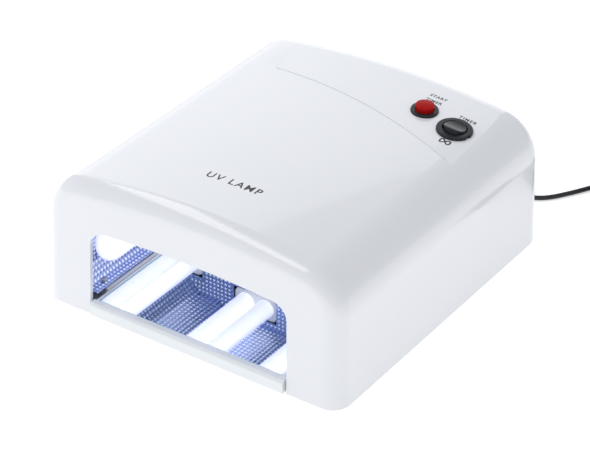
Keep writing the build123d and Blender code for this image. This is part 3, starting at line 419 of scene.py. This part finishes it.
@dataclass(frozen=True)
class CircuitBoard:
    """Green board with copper tracks under its solder mask."""

    name: str
    colour: Colour

    def build(self) -> bpy.types.Material:
        """Build the material: tracks are the cell borders of two crossed grids.

        Returns:
            The finished material.
        """
        material, graph, shader = new_material(self.name)
        place = graph.add("TexCoord").outputs["Object"]
        laid = {"offset": 0.37, "squash": 0.7}
        cells = graph.add("TexBrick", laid, Vector=place, Scale=110.0, Mortar_Size=0.05)
        cells.inputs["Color1"].default_value = rgba(self.colour)
        cells.inputs["Color2"].default_value = rgba(self.colour, 0.8)
        cells.inputs["Mortar"].default_value = rgba(self.colour, 1.8)
        join(graph, cells.outputs["Color"], shader, "Base Color")
        bump = graph.add("Bump", Strength=1.0, Distance=0.03 * MM, Height=cells.outputs["Fac"])
        join(graph, bump.outputs[0], shader, "Normal")
        shader.inputs["Roughness"].default_value = 0.3
        return material


class Finishes:
    """Every finish of the lamp, built once."""

    def __init__(self) -> None:
        """Build the shared groups and then each material."""
        build_moulded_group()
        build_handling_group()
        build_brushed_group()
        white: Colour = (0.86, 0.87, 0.89)
        black: Colour = (0.022, 0.024, 0.028)
        self.casing = Plastic("casing_white", white, 0.16, 260.0, 0.006, 0.012, 0.5, 0.03).build()
        self.frame = Plastic("frame_white", (0.78, 0.79, 0.80), 0.45, 1400.0, 0.05).build()
        # Painted light: the faint green-cyan cast of the tray's white is the lit tubes' light painted in.
        self.tray = Plastic("tray_white", (0.88, 0.91, 0.91), 0.22, 500.0, 0.008, 0.02, 0.3, 0.05).build()
        self.mirror = MirrorSheet("mirror_face", (0.90, 0.94, 0.96)).build()
        self.foot = Plastic("foot_rubber", (0.03, 0.03, 0.032), 0.75, 1600.0, 0.08).build()
        self.steel = Metal("zinc_steel", (0.62, 0.63, 0.64), 0.32).build()
        # Painted light: the first colour is painted shade for the bumps' hollows, and the blue in both
        # colours is the lit tubes' light painted in.
        self.embossed = EmbossedSheet("embossed_aluminium", (0.32, 0.40, 0.62), (0.86, 0.89, 1.0)).build()
        self.glass_edge = Plastic("mirror_glass_edge", (0.28, 0.62, 0.66), 0.12, 500.0, 0.002).build()
        self.tube = LitTube("tube_glass", (1.0, 1.0, 1.0), (0.42, 0.42, 0.95), 0.72).build()
        self.base = Plastic("lamp_base_white", (0.80, 0.80, 0.78), 0.5, 1200.0, 0.04).build()
        self.holder = Plastic("holder_white", (0.72, 0.72, 0.68), 0.5, 1200.0, 0.04).build()
        self.brass = Metal("brass_fittings", (0.70, 0.53, 0.25), 0.3).build()
        self.nickel = Metal("nickel_pins", (0.66, 0.65, 0.62), 0.2, 900.0, 0.002).build()
        self.ferrite = Plastic("ferrite", (0.05, 0.045, 0.04), 0.7, 1100.0, 0.08).build()
        self.sleeve = Plastic("capacitor_sleeve", (0.03, 0.035, 0.09), 0.3).build()
        self.black = Plastic("black_plastic", black, 0.34, 1500.0, 0.03, 0.06, 0.0, 0.08, 0.3).build()
        self.rocker = Plastic("rocker_black", black, 0.2, 900.0, 0.008, 0.04, 0.0, 0.08, 0.25).build()
        red: Colour = (0.44, 0.006, 0.005)
        self.red = Plastic("red_plastic", red, 0.3, 900.0, 0.01, 0.06, specular=0.06).build()
        self.board = CircuitBoard("circuit_board", (0.03, 0.14, 0.05)).build()
        self.relay = Plastic("relay_blue", (0.03, 0.10, 0.35), 0.3).build()
        self.lead = Plastic("lead_insulation", (0.6, 0.6, 0.58), 0.4).build()
        self.cord = Plastic("cord_jacket", (0.014, 0.015, 0.018), 0.42, 2200.0, 0.03, 0.1).build()
        self.plug = Plastic("plug_black", (0.025, 0.025, 0.028), 0.5, 1800.0, 0.05).build()
        self.ink = Plastic("legend_ink", (0.02, 0.02, 0.024), 0.4, 1500.0, 0.01).build()


def dress(material: bpy.types.Material, *nodes: str) -> None:
    """Give CAD nodes a material.

    Args:
        material: The material that they all get.
        nodes: Names of the CAD nodes.
    """
    for node in nodes:
        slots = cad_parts[node].data.materials
        slots.clear()
        slots.append(material)
        LOG.info("dressed %s in %s", node, material.name)


# ---- Mesh helpers -------------------------------------------------------------------------------


def mesh_piece(
    name: str, points: np.ndarray, faces: list[list[int]], smooth: bool = True
) -> bpy.types.Object:
    """Make a mesh object from arrays.

    Args:
        name: The piece's name.
        points: N x 3 array in millimetres.
        faces: A list of corner numbers for each face.
        smooth: Whether its faces shade smoothly.

    Returns:
        The linked object, at the origin.
    """
    mesh = bpy.data.meshes.new(name)
    mesh.from_pydata((np.asarray(points) * MM).tolist(), [], faces)
    mesh.polygons.foreach_set("use_smooth", np.full(len(mesh.polygons), smooth))
    mesh.validate()
    piece = bpy.data.objects.new(name, mesh)
    bpy.context.scene.collection.objects.link(piece)
    return piece


def grid_faces(rows: int, columns: int, start: int = 0, flip: bool = False) -> np.ndarray:
    """Quads of a grid of rows x columns points numbered row by row from start.

    Args:
        rows: Rows of points.
        columns: Points in a row.
        start: Number of the first point.
        flip: Whether the faces turn the other way.

    Returns:
        M x 4 array of corner numbers.
    """
    number = start + np.arange(rows * columns).reshape(rows, columns)
    corners = [number[:-1, :-1], number[:-1, 1:], number[1:, 1:], number[1:, :-1]]
    faces = np.stack(corners, axis=-1).reshape(-1, 4)
    return faces[:, ::-1] if flip else faces


def store_height(piece: bpy.types.Object, height: np.ndarray) -> None:
    """Store each point's height above the bottom of its bumps, from 0 to 1, as the mesh's own attribute,
    which the embossed finish turns into painted shade where it is low.

    Args:
        piece: The mesh object.
        height: One value for each of its points.
    """
    layer = piece.data.attributes.new(EMBOSS, "FLOAT", "POINT")
    layer.data.foreach_set("value", height.astype(np.float32))


def finish_piece(piece: bpy.types.Object, material: bpy.types.Material, body: str) -> None:
    """Give a new piece its material and its body.

    Args:
        piece: The new mesh or curve object.
        material: Its material.
        body: The moving body that it rides on.
    """
    piece.data.materials.append(material)
    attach(piece, body)
    LOG.info("built %s on %s", piece.name, body)


# ---- Studio -------------------------------------------------------------------------------------


@dataclass
class Studio:
    """Camera, floor and soft lights round the lamp."""

    camera_place: tuple[float, float, float] = (712.94, -1035.02, 829.55)
    camera_right: tuple[float, float, float] = (0.82292, 0.56816, 0.0)
    camera_up: tuple[float, float, float] = (-0.30491, 0.44164, 0.84379)
    lens: float = 146.22
    floor_half: float = 9000.0

    def build(self) -> None:
        """Build all of it."""
        self.build_camera()
        self.build_world()
        self.build_floor()
        self.build_lights()

    def build_camera(self) -> None:
        """Aim the camera along the third axis of its right and up directions."""
        right, up = Vector(self.camera_right).normalized(), Vector(self.camera_up).normalized()
        back = right.cross(up)
        data = bpy.data.cameras.new("camera")
        data.lens, data.sensor_width = self.lens, 36.0
        data.clip_start, data.clip_end = 0.05, 50.0
        camera = bpy.data.objects.new("camera", data)
        axes = Matrix((right, up, back)).transposed()
        camera.matrix_world = Matrix.Translation(Vector(self.camera_place) * MM) @ axes.to_4x4()
        bpy.context.scene.collection.objects.link(camera)
        bpy.context.scene.camera = camera

    def build_world(self) -> None:
        """Light the sky evenly, a little cool."""
        world = bpy.data.worlds.new("studio")
        world.use_nodes = True
        world.node_tree.nodes["Background"].inputs[0].default_value = (0.93, 0.95, 1.0, 1.0)
        world.node_tree.nodes["Background"].inputs[1].default_value = 0.63
        bpy.context.scene.world = world
        bpy.context.scene.view_settings.view_transform = "Standard"
        bpy.context.scene.view_settings.look = "None"

    def build_floor(self) -> None:
        """Lay a pale floor that is lit from within, so that its shadows stay light."""
        half = self.floor_half
        corners = np.array([(-half, -half, 0), (half, -half, 0), (half, half, 0), (-half, half, 0)], float)
        floor = mesh_piece("studio_floor", corners - (0, 0, 0.05), [[0, 1, 2, 3]], smooth=False)
        material, graph, shader = new_material("studio_floor")
        tone = graph.add("TexNoise", Vector=graph.add("TexCoord").outputs["Object"], Scale=0.4)
        share = graph.ramp(tone.outputs["Fac"], 0.3, 0.7)
        colour = graph.mix(share, rgba((0.9, 0.9, 0.9)), rgba((0.93, 0.93, 0.93)))
        join(graph, colour, shader, "Base Color")
        shader.inputs["Roughness"].default_value = 0.9
        shader.inputs["Specular IOR Level"].default_value = 0.1
        shader.inputs["Emission Color"].default_value = (1.0, 1.0, 1.0, 1.0)
        shader.inputs["Emission Strength"].default_value = 0.5
        floor.data.materials.append(material)

    def build_lights(self) -> None:
        """Hang the soft boxes: one behind the left for the top to mirror, one strip over the front edge."""
        for name, place, size, glow, tint in (
            ("rear_left_box", (-900, 1200, 640), (1500, 1100), 0.86, (0.97, 0.98, 1.0)),
            ("edge_strip", (-620, -260, 1150), (1700, 350), 2.5, (1.0, 1.0, 1.0)),
            ("front_left_box", (-1300, -700, 500), (700, 700), 0.15, (0.93, 0.96, 1.0)),
        ):
            data = bpy.data.lights.new(name, "AREA")
            data.shape, data.size, data.size_y = "RECTANGLE", size[0] * MM, size[1] * MM
            data.energy, data.color = glow * math.pi * data.size * data.size_y, tint
            light = bpy.data.objects.new(name, data)
            at = Vector(place) * MM
            aim = (-at).to_track_quat("-Z", "Y").to_matrix().to_4x4()
            light.matrix_world = Matrix.Translation(at) @ aim
            bpy.context.scene.collection.objects.link(light)


# ---- Casing and its print -----------------------------------------------------------------------


@dataclass
class Casing:
    """Top shell, base frame, feet and casing screws."""

    crown_radius: float = 607.34
    crown_top: float = 95.5
    panel_slope: float = 0.014634
    panel_fade_y: float = 105.7

    def crown(self, x: np.ndarray) -> np.ndarray:
        """Height of the crown: a circle of crown_radius whose top is at crown_top.

        Args:
            x: Places across the casing.

        Returns:
            One height for each place.
        """
        return self.crown_top - self.crown_radius + np.sqrt(self.crown_radius**2 - x**2)

    def panel(self, x: np.ndarray, y: np.ndarray) -> np.ndarray:
        """Height of the switch panel: the crown less a wedge that fades out at panel_fade_y.

        Args:
            x: Places across the casing.
            y: Places along it.

        Returns:
            One height for each place.
        """
        return self.crown(x) - self.panel_slope * np.clip(self.panel_fade_y - y, 0, None)

    def build(self, finishes: Finishes) -> None:
        """Dress the casing's CAD nodes.

        Args:
            finishes: The lamp's finishes, built once and shared.
        """
        dress(finishes.casing, "top_shell")
        dress(finishes.frame, "base_frame")
        dress(finishes.foot, "rubber_feet")
        dress(finishes.steel, "casing_screws")


@dataclass
class Legend:
    """One printed word or sign: its text, middle, height, how far letters spread and its surface."""

    name: str
    text: str
    middle: tuple[float, float]
    size: float
    spacing: float = 1.0
    width: float = 1.0
    on_panel: bool = True


@dataclass
class Print:
    """Print on the top: a plain product word at the front and the switch legends at the rear."""

    casing: Casing
    lift: float = 0.05
    weight: float = 0.1
    legends: tuple[Legend, ...] = (
        Legend("print_name", "UV LAMP", (1.5, -67.0), 8.2, 1.25, on_panel=False),
        Legend("print_start", "START", (45.0, 90.6), 3.6, 1.2),
        Legend("print_start_timer", "TIMER", (45.0, 85.0), 3.6, 1.2),
        Legend("print_timer", "TIMER", (72.2, 80.9), 3.8, 1.25),
    )
    endless_middle: tuple[float, float] = (73.6, 51.6)
    endless_half: float = 3.4
    endless_rise: float = 0.58
    endless_line: float = 1.0

    def build(self, finishes: Finishes) -> None:
        """Print every legend and the endless sign.

        Args:
            finishes: The lamp's finishes, built once and shared.
        """
        for legend in self.legends:
            piece = self.letters(legend)
            finish_piece(piece, finishes.ink, "housing")
        finish_piece(self.endless_sign(), finishes.ink, "housing")

    def laid(self, points: np.ndarray, on_panel: bool) -> np.ndarray:
        """Points with their height taken from the surface under them, plus the ink's lift.

        Args:
            points: Array whose first two columns are X and Y.
            on_panel: Whether they lie on the switch panel or on the plain crown.

        Returns:
            N x 3 array in millimetres.
        """
        height = self.casing.panel if on_panel else (lambda x, y: self.casing.crown(x))
        return np.column_stack([points[:, 0], points[:, 1], height(points[:, 0], points[:, 1]) + self.lift])

    def letters(self, legend: Legend) -> bpy.types.Object:
        """Letters as a flat mesh, centred on the legend's middle and laid on the top.

        Args:
            legend: The legend to print.

        Returns:
            The flat mesh object.
        """
        curve = bpy.data.curves.new(legend.name, "FONT")
        curve.body, curve.size, curve.space_character = legend.text, legend.size, legend.spacing
        curve.resolution_u = 4
        curve.offset = self.weight
        source = bpy.data.objects.new(legend.name + "_curve", curve)
        bpy.context.scene.collection.objects.link(source)
        bpy.context.view_layer.update()
        mesh = bpy.data.meshes.new_from_object(source.evaluated_get(bpy.context.evaluated_depsgraph_get()))
        bpy.data.objects.remove(source)
        points = np.empty(len(mesh.vertices) * 3)
        mesh.vertices.foreach_get("co", points)
        points = points.reshape(-1, 3)
        points[:, :2] -= (points[:, :2].min(axis=0) + points[:, :2].max(axis=0)) / 2
        points[:, :2] += legend.middle
        mesh.vertices.foreach_set("co", (self.laid(points, legend.on_panel) * MM).ravel())
        mesh.update()
        mesh.name = legend.name
        piece = bpy.data.objects.new(legend.name, mesh)
        bpy.context.scene.collection.objects.link(piece)
        return piece

    def endless_sign(self) -> bpy.types.Object:
        """The lying figure eight: a ribbon along x = a cos t, y = b sin 2t, widened along its normal.

        Returns:
            The flat mesh object.
        """
        turn = np.linspace(0, 2 * np.pi, 65)
        half, high = self.endless_half, self.endless_rise * self.endless_half
        line = np.column_stack([half * np.cos(turn), high * np.sin(2 * turn)])
        along = np.column_stack([-half * np.sin(turn), 2 * high * np.cos(2 * turn)])
        across = np.column_stack([-along[:, 1], along[:, 0]]) / np.linalg.norm(along, axis=1)[:, None]
        edges = np.concatenate([line - across * self.endless_line / 2, line + across * self.endless_line / 2])
        edges = edges + np.array(self.endless_middle)
        faces = grid_faces(2, len(turn))
        return mesh_piece("print_endless", self.laid(edges, True), faces.tolist())


# ---- Reflector ----------------------------------------------------------------------------------


@dataclass
class Reflector:
    """Embossed aluminium hood and rear panel."""

    sheet: float = 0.8
    pitch: float = 3.0
    emboss: float = 0.6
    steps: int = 4
    dome_reach: float = 87.0
    dome_low: float = 15.0
    dome_sides: int = 8
    dome_rings: tuple[tuple[float, float], ...] = ((1.15, -0.02), (0.8, 0.36), (0.35, 0.56))
    window_margin: float = 1.4
    edge_margin: float = 2.2
    windows: tuple[tuple[float, float, float, float], ...] = (
        (-88.0, -69.4, 19.5, 52.9),
        (-44.7, -11.3, 48.8, 67.2),
        (11.3, 44.7, 48.8, 67.2),
        (69.4, 88.0, 19.5, 52.9),
    )
    front: float = -109.5
    rear: float = -7.0
    floor: float = 12.8
    flange: float = 72.0
    corner: tuple[float, float] = (80.0, 12.8)
    low: tuple[float, float] = (88.0, 22.0)
    high: tuple[float, float] = (88.0, 48.0)
    shoulder: tuple[float, float] = (77.0, 64.5)
    top: float = 72.0
    bend: float = 5.0
    shoulder_bend: float = 10.0

    def section(self) -> np.ndarray:
        """Inside outline of the hood from its left flange over the top to its right one.

        Corners are rounded by arcs between their tangent points, and the top is a circle's arc through both
        shoulders and the middle.

        Returns:
            N x 2 array of X and Z, spaced evenly along the outline.
        """
        right = [(self.flange, self.floor), self.corner, self.low, self.high, self.shoulder]
        x, rise = self.shoulder[0], self.top - self.shoulder[1]
        radius = (x * x + rise * rise) / (2 * rise)
        crown_x = np.linspace(x, 0, 60)[1:]
        crown = np.column_stack([crown_x, self.top - radius + np.sqrt(radius**2 - crown_x**2)])
        bends = [0.0, 0.0, self.bend, self.bend, self.shoulder_bend]
        points = [np.array(right[0]), np.array(right[1])]
        following = right[2:] + [tuple(crown[8])]
        before = np.array(right[1])
        for here, after, radius_here in zip(following[:-1], following[1:], bends[2:]):
            points.extend(self.arc(before, np.array(here), np.array(after), radius_here))
            before = np.array(here)
        half = np.vstack([np.array(points), crown[crown[:, 0] < points[-1][0] - 0.5]])
        outline = np.vstack([half * (-1, 1), half[-2::-1]])
        lengths = np.concatenate([[0], np.cumsum(np.linalg.norm(np.diff(outline, axis=0), axis=1))])
        count = int(round(lengths[-1] / self.pitch)) * self.steps
        even = np.linspace(0, lengths[-1], count + 1)
        x = np.interp(even, lengths, outline[:, 0])
        return np.column_stack([x, np.interp(even, lengths, outline[:, 1])])

    def arc(
        self, before: np.ndarray, here: np.ndarray, after: np.ndarray, radius: float
    ) -> list[np.ndarray]:
        """Points of the arc of a radius that rounds one corner.

        Args:
            before: The corner before it.
            here: The corner that is rounded.
            after: The corner after it.
            radius: The arc's radius.

        Returns:
            Nine points from one tangent point to the other.
        """
        first = (before - here) / np.linalg.norm(before - here)
        second = (after - here) / np.linalg.norm(after - here)
        half = math.acos(float(np.clip(first @ second, -1, 1))) / 2
        bisector = (first + second) / np.linalg.norm(first + second)
        middle = here + bisector * radius / math.sin(half)
        start = here + first * radius / math.tan(half) - middle
        end = here + second * radius / math.tan(half) - middle
        swing = math.pi - 2 * half
        return [
            middle + (start * math.sin(swing * (1 - t)) + end * math.sin(swing * t)) / math.sin(swing)
            for t in np.linspace(0, 1, 9)
        ]

    def bumps(self, columns: int, rows: int) -> np.ndarray:
        """Raised points on a square grid: the product of two raised cosines at every pitch.

        Args:
            columns: Points across the sheet.
            rows: Points along it.

        Returns:
            Rows x columns array of heights in millimetres.
        """
        wave_u = 0.5 + 0.5 * np.cos(2 * np.pi * np.arange(columns) / self.steps)
        wave_v = 0.5 + 0.5 * np.cos(2 * np.pi * np.arange(rows) / self.steps)
        return self.emboss * wave_u[None, :] * wave_v[:, None]

    def hood(self) -> bpy.types.Object:
        """Sheet carried along Y, embossed towards the inside, with a plain back and closed edges.

        Returns:
            The mesh object.
        """
        line = self.section()
        along = np.gradient(line, axis=0)
        inward = np.column_stack([along[:, 1], -along[:, 0]]) / np.linalg.norm(along, axis=1)[:, None]
        rows = int((self.rear - self.front) / self.pitch) * self.steps + 1
        depth = np.linspace(self.front, self.rear, rows)
        height = self.bumps(len(line), rows)
        inner = line[None, :, :] + inward[None, :, :] * height[:, :, None]
        y = np.broadcast_to(depth[:, None], height.shape)
        inside = np.stack([inner[:, :, 0], y, inner[:, :, 1]], axis=-1).reshape(-1, 3)
        outer = line - inward * self.sheet
        back = np.concatenate([
            np.column_stack([outer[:, 0], np.full(len(outer), end), outer[:, 1]])
            for end in (self.front, self.rear)
        ])
        piece = self.closed_sheet("reflector_hood_embossed", inside, back, rows, len(line))
        # The back takes height 0 and so the painted shade of the hollows.
        store_height(piece, np.concatenate([height.ravel() / self.emboss, np.zeros(len(back))]))
        return piece

    def dome_middles(self) -> np.ndarray:
        """Places of the rear panel's bumps: a square grid clear of its outline and the lamp windows.

        Returns:
            N x 2 array of X and Z.
        """
        across = np.arange(-self.dome_reach, self.dome_reach + self.pitch / 2, self.pitch)
        x, z = np.meshgrid(across, np.arange(self.dome_low, self.top, self.pitch))
        rise = self.top - self.shoulder[1]
        radius = (self.shoulder[0] ** 2 + rise**2) / (2 * rise)
        roof = self.top - radius + np.sqrt(radius**2 - x**2)
        corners = np.array([self.corner, self.low, self.high, self.shoulder])
        wide = np.interp(z, corners[:, 1], corners[:, 0])
        inside = (np.abs(x) < wide - self.edge_margin) & (z < roof - self.edge_margin)
        for left, right, low, high in self.windows:
            near_x = (x > left - self.window_margin) & (x < right + self.window_margin)
            inside &= ~(near_x & (z > low - self.window_margin) & (z < high + self.window_margin))
        return np.column_stack([x[inside], z[inside]])

    def rear_domes(self) -> bpy.types.Object:
        """Bumps of the rear panel: each a small dome of three rings that rises towards the front.

        Returns:
            The mesh object.
        """
        middles = self.dome_middles()
        angle = 2 * np.pi * np.arange(self.dome_sides) / self.dome_sides
        rings = np.array(self.dome_rings)
        x = middles[:, 0, None, None] + rings[None, :, 0, None] * np.cos(angle)
        z = middles[:, 1, None, None] + rings[None, :, 0, None] * np.sin(angle)
        y = np.broadcast_to(self.rear - rings[None, :, 1, None], x.shape)
        points = np.stack([x, y, z], axis=-1).reshape(-1, 3)
        sides, count = self.dome_sides, len(rings)
        here = np.arange(count * sides).reshape(count, sides)
        turned = np.roll(here, -1, axis=1)
        bands = np.stack([here[:-1], turned[:-1], turned[1:], here[1:]], axis=-1).reshape(-1, 4)
        first = np.arange(len(middles))[:, None] * count * sides
        quads = (first[:, :, None] + bands[None]).reshape(-1, 4).tolist()
        caps = (first + here[-1]).tolist() + (first + here[0, ::-1]).tolist()
        piece = mesh_piece("reflector_rear_bumps", points, quads + caps)
        height = np.broadcast_to((rings[:, 1] / rings[-1, 1]).clip(0, 1)[None, :, None], x.shape)
        # The domes' base rings take height 0 and the painted shade, their tops the pale lamp-lit colour.
        store_height(piece, height.ravel())
        return piece

    def closed_sheet(
        self, name: str, inside: np.ndarray, back: np.ndarray, rows: int, columns: int
    ) -> bpy.types.Object:
        """Embossed face, plain back of two rows, and strips that close the front, rear and side edges.

        Args:
            name: The piece's name.
            inside: Points of the embossed face, row by row.
            back: Points of the back: a row at the front and one at the rear.
            rows: Rows of the face.
            columns: Points in a row.

        Returns:
            The mesh object.
        """
        start = len(inside)
        grid = np.arange(rows * columns).reshape(rows, columns)
        near, far = start + np.arange(columns), start + columns + np.arange(columns)
        faces = [*grid_faces(rows, columns).tolist(), *grid_faces(2, columns, start, flip=True).tolist()]
        for edge, ring, turn in ((grid[0], near, -1), (grid[-1], far, 1)):
            strip = np.stack([edge[:-1], edge[1:], ring[1:], ring[:-1]], axis=-1)
            faces.extend(strip[:, ::turn].tolist())
        faces.append([*grid[:, 0].tolist(), int(far[0]), int(near[0])])
        faces.append([*grid[::-1, -1].tolist(), int(near[-1]), int(far[-1])])
        return mesh_piece(name, np.vstack([inside, back]), faces)

    def build(self, finishes: Finishes) -> None:
        """Replace the hood by an embossed one, and raise bumps on the rear panel.

        Args:
            finishes: The lamp's finishes, built once and shared.
        """
        hood = self.hood()
        finish_piece(hood, finishes.embossed, "housing")
        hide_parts("reflector_hood")
        # The rear panel's CAD mesh has no emboss height, which reads as 0, so it takes the painted shade of
        # the hollows all over.
        dress(finishes.embossed, "reflector_rear")
        finish_piece(self.rear_domes(), finishes.embossed, "housing")


# ---- Lamps, drawer, switches and bay ------------------------------------------------------------


@dataclass
class LampSet:
    """Four lamps with their bases, pins and holders."""

    count: int = 4

    def build(self, finishes: Finishes) -> None:
        """Dress each lamp's nodes.

        Args:
            finishes: The lamp's finishes, built once and shared.
        """
        for number in range(1, self.count + 1):
            dress(finishes.tube, f"uv_tube_{number}")
            dress(finishes.base, f"lamp_base_{number}")
            dress(finishes.holder, f"lamp_holder_{number}")
        dress(finishes.brass, "lamp_pins")


@dataclass
class Drawer:
    """Slide-out tray and its mirror, whose ground glass edge shows as a thin rim."""

    half_width: float = 68.0
    front: float = -113.0
    rear: float = -12.0
    top: float = 10.6
    rim: float = 0.7
    lift: float = 0.02

    def glass_rim(self) -> bpy.types.Object:
        """Flat rim on the mirror: a ring of four quads between its outline and the same moved in by rim.

        Returns:
            The flat mesh object.
        """
        outline = np.array([
            (-self.half_width, self.front),
            (self.half_width, self.front),
            (self.half_width, self.rear),
            (-self.half_width, self.rear),
        ])
        inner = outline + self.rim * np.array([(1, 1), (-1, 1), (-1, -1), (1, -1)])
        points = np.column_stack([np.vstack([outline, inner]), np.full(8, self.top + self.lift)])
        corner = np.arange(4)
        following = (corner + 1) % 4
        faces = np.column_stack([corner, following, following + 4, corner + 4]).tolist()
        return mesh_piece("mirror_glass_rim", points, faces, smooth=False)

    def build(self, finishes: Finishes) -> None:
        """Dress the tray and the mirror, and lay the rim.

        Args:
            finishes: The lamp's finishes, built once and shared.
        """
        dress(finishes.tray, "slide_tray")
        dress(finishes.mirror, "tray_mirror")
        finish_piece(self.glass_rim(), finishes.glass_edge, "tray")


@dataclass
class Switches:
    """Start button and timer rocker."""

    def build(self, finishes: Finishes) -> None:
        """Dress both switches.

        Args:
            finishes: The lamp's finishes, built once and shared.
        """
        dress(finishes.black, "start_bezel", "start_nut", "start_switch", "rocker_bezel")
        dress(finishes.red, "start_cap")
        dress(finishes.rocker, "rocker_cap")
        dress(finishes.steel, "start_spring", "rocker_pin")
        dress(finishes.brass, "start_terminals", "rocker_terminals")


@dataclass
class ElectronicsBay:
    """Bracket, boards, parts on them and leads."""

    boards: int = 4

    def build(self, finishes: Finishes) -> None:
        """Dress everything behind the reflector.

        Args:
            finishes: The lamp's finishes, built once and shared.
        """
        dress(finishes.steel, "lamp_bracket", "board_screws")
        dress(finishes.board, "timer_board", *(f"ballast_board_{n}" for n in range(1, self.boards + 1)))
        dress(finishes.ferrite, "ballast_inductors")
        dress(finishes.sleeve, "ballast_capacitors")
        dress(finishes.black, "ballast_transistors", "timer_chip")
        dress(finishes.holder, "ballast_connectors", "timer_spacers", "terminal_block")
        dress(finishes.relay, "timer_relay")
        dress(finishes.brass, "terminal_screws")
        dress(finishes.lead, "lamp_leads", "switch_leads")
        dress(finishes.cord, "inner_mains_lead")


# ---- Mains lead ---------------------------------------------------------------------------------


@dataclass
class MainsLead:
    """Thin flex from the rear wall to a put-away coil, and on from it to the plug beside it."""

    radius: float = 1.6
    start: tuple[float, float, float] = (22.0, 138.5, 13.0)
    route: tuple[tuple[float, float, float], ...] = (
        (22.6, 145.5, 12.5), (26.0, 152.8, 10.8), (32.0, 158.2, 8.2), (39.6, 160.4, 5.4),
        (47.4, 159.2, 3.2), (54.8, 155.8, 2.0), (62.1, 152.5, 1.65), (70.5, 150.7, 1.6),
        (78.9, 151.7, 1.6), (86.3, 154.7, 1.6), (92.5, 160.7, 1.6), (97.7, 168.5, 1.6),
        (102.5, 176.2, 1.6), (106.9, 184.3, 1.6), (117.52, 201.62, 1.6),
    )
    coil_middle: tuple[float, float] = (137.3, 189.5)
    inner_turn: float = 13.3
    outer_turn: float = 23.2
    layers: int = 4
    entry: float = 148.5
    leave: float = 20.0
    whole_turns: int = 12
    coil_steps: int = 173
    tail: tuple[tuple[float, float], ...] = ((0.0, 11.2), (8.0, 11.2), (16.0, 6.85), (25.5, 6.85))
    length: float = 1.6

    def turns(self) -> float:
        """Turns from where the cord runs on to the coil to where it leaves it.

        Returns:
            Turns, as a number that need not be whole.
        """
        return self.whole_turns + (self.entry - self.leave) / 360

    def coil_points(self) -> np.ndarray:
        """Control points of the coil, wound clockwise as a flat spiral in, one out on top of it, and so on.

        The radius goes evenly from one end of a layer to the other, and each rise to the next layer takes
        half a turn about the layers' meeting. A control point stands outside its arc by one over the cosine
        of half a step.

        Returns:
            N x 3 array in millimetres.
        """
        step = self.turns() / self.coil_steps
        turned = (np.arange(self.coil_steps) + 0.5) * step
        per_layer = self.turns() / self.layers
        layer = np.minimum((turned / per_layer).astype(int), self.layers - 1)
        share = turned / per_layer - layer
        inwards = np.where(layer % 2 == 0, share, 1 - share)
        radius = self.outer_turn - (self.outer_turn - self.inner_turn) * inwards
        meetings = per_layer * np.arange(1, self.layers)
        rises = np.clip((turned[:, None] - meetings[None, :] + 0.25) / 0.5, 0, 1).sum(axis=1)
        angle = math.radians(self.entry) - 2 * np.pi * turned
        across = radius / math.cos(math.pi * step)
        x = self.coil_middle[0] + across * np.cos(angle)
        y = self.coil_middle[1] + across * np.sin(angle)
        return np.column_stack([x, y, self.radius * (1 + 2 * rises)])

    def tail_points(self) -> np.ndarray:
        """Points of the tail, which leaves the coil along its tangent and comes down into the plug's boot.

        Returns:
            N x 3 array in millimetres.
        """
        angle = math.radians(self.leave)
        runs = np.array(self.tail)
        x = self.coil_middle[0] + self.outer_turn * math.cos(angle) + runs[:, 0] * math.sin(angle)
        y = self.coil_middle[1] + self.outer_turn * math.sin(angle) - runs[:, 0] * math.cos(angle)
        return np.column_stack([x, y, runs[:, 1]])

    def build(self, finishes: Finishes) -> None:
        """Lay the cord as one spline through its route, coil and tail, and dress what is on it.

        Args:
            finishes: The lamp's finishes, built once and shared.
        """
        points = np.vstack([self.start, np.array(self.route), self.coil_points(), self.tail_points()]) * MM
        curve = bpy.data.curves.new("mains_cord_line", "CURVE")
        curve.dimensions = "3D"
        curve.bevel_depth, curve.bevel_resolution = self.radius * MM, 5
        curve.use_fill_caps = True
        spline = curve.splines.new("NURBS")
        spline.points.add(len(points) - 1)
        spline.points.foreach_set("co", np.column_stack([points, np.ones(len(points))]).ravel())
        spline.order_u = 3
        spline.use_endpoint_u = True
        spline.resolution_u = 6
        piece = bpy.data.objects.new("mains_cord_flex", curve)
        bpy.context.scene.collection.objects.link(piece)
        finish_piece(piece, finishes.cord, "housing")
        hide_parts("mains_cord", "cord_coil")
        dress(finishes.cord, "strain_relief")
        dress(finishes.plug, "plug_body")
        dress(finishes.nickel, "plug_pins")
        LOG.info("cord of %.3f m, wound %.2f times", self.length, self.turns())


def main() -> None:
    """Build the studio and every sub-assembly, in order."""
    logging.basicConfig(level=logging.INFO, format="%(message)s")
    Studio().build()
    finishes = Finishes()
    MainsLead().build(finishes)
    casing = Casing()
    casing.build(finishes)
    Print(casing).build(finishes)
    Reflector().build(finishes)
    LampSet().build(finishes)
    Drawer().build(finishes)
    Switches().build(finishes)
    ElectronicsBay().build(finishes)


if __name__ == "__main__":
    main()
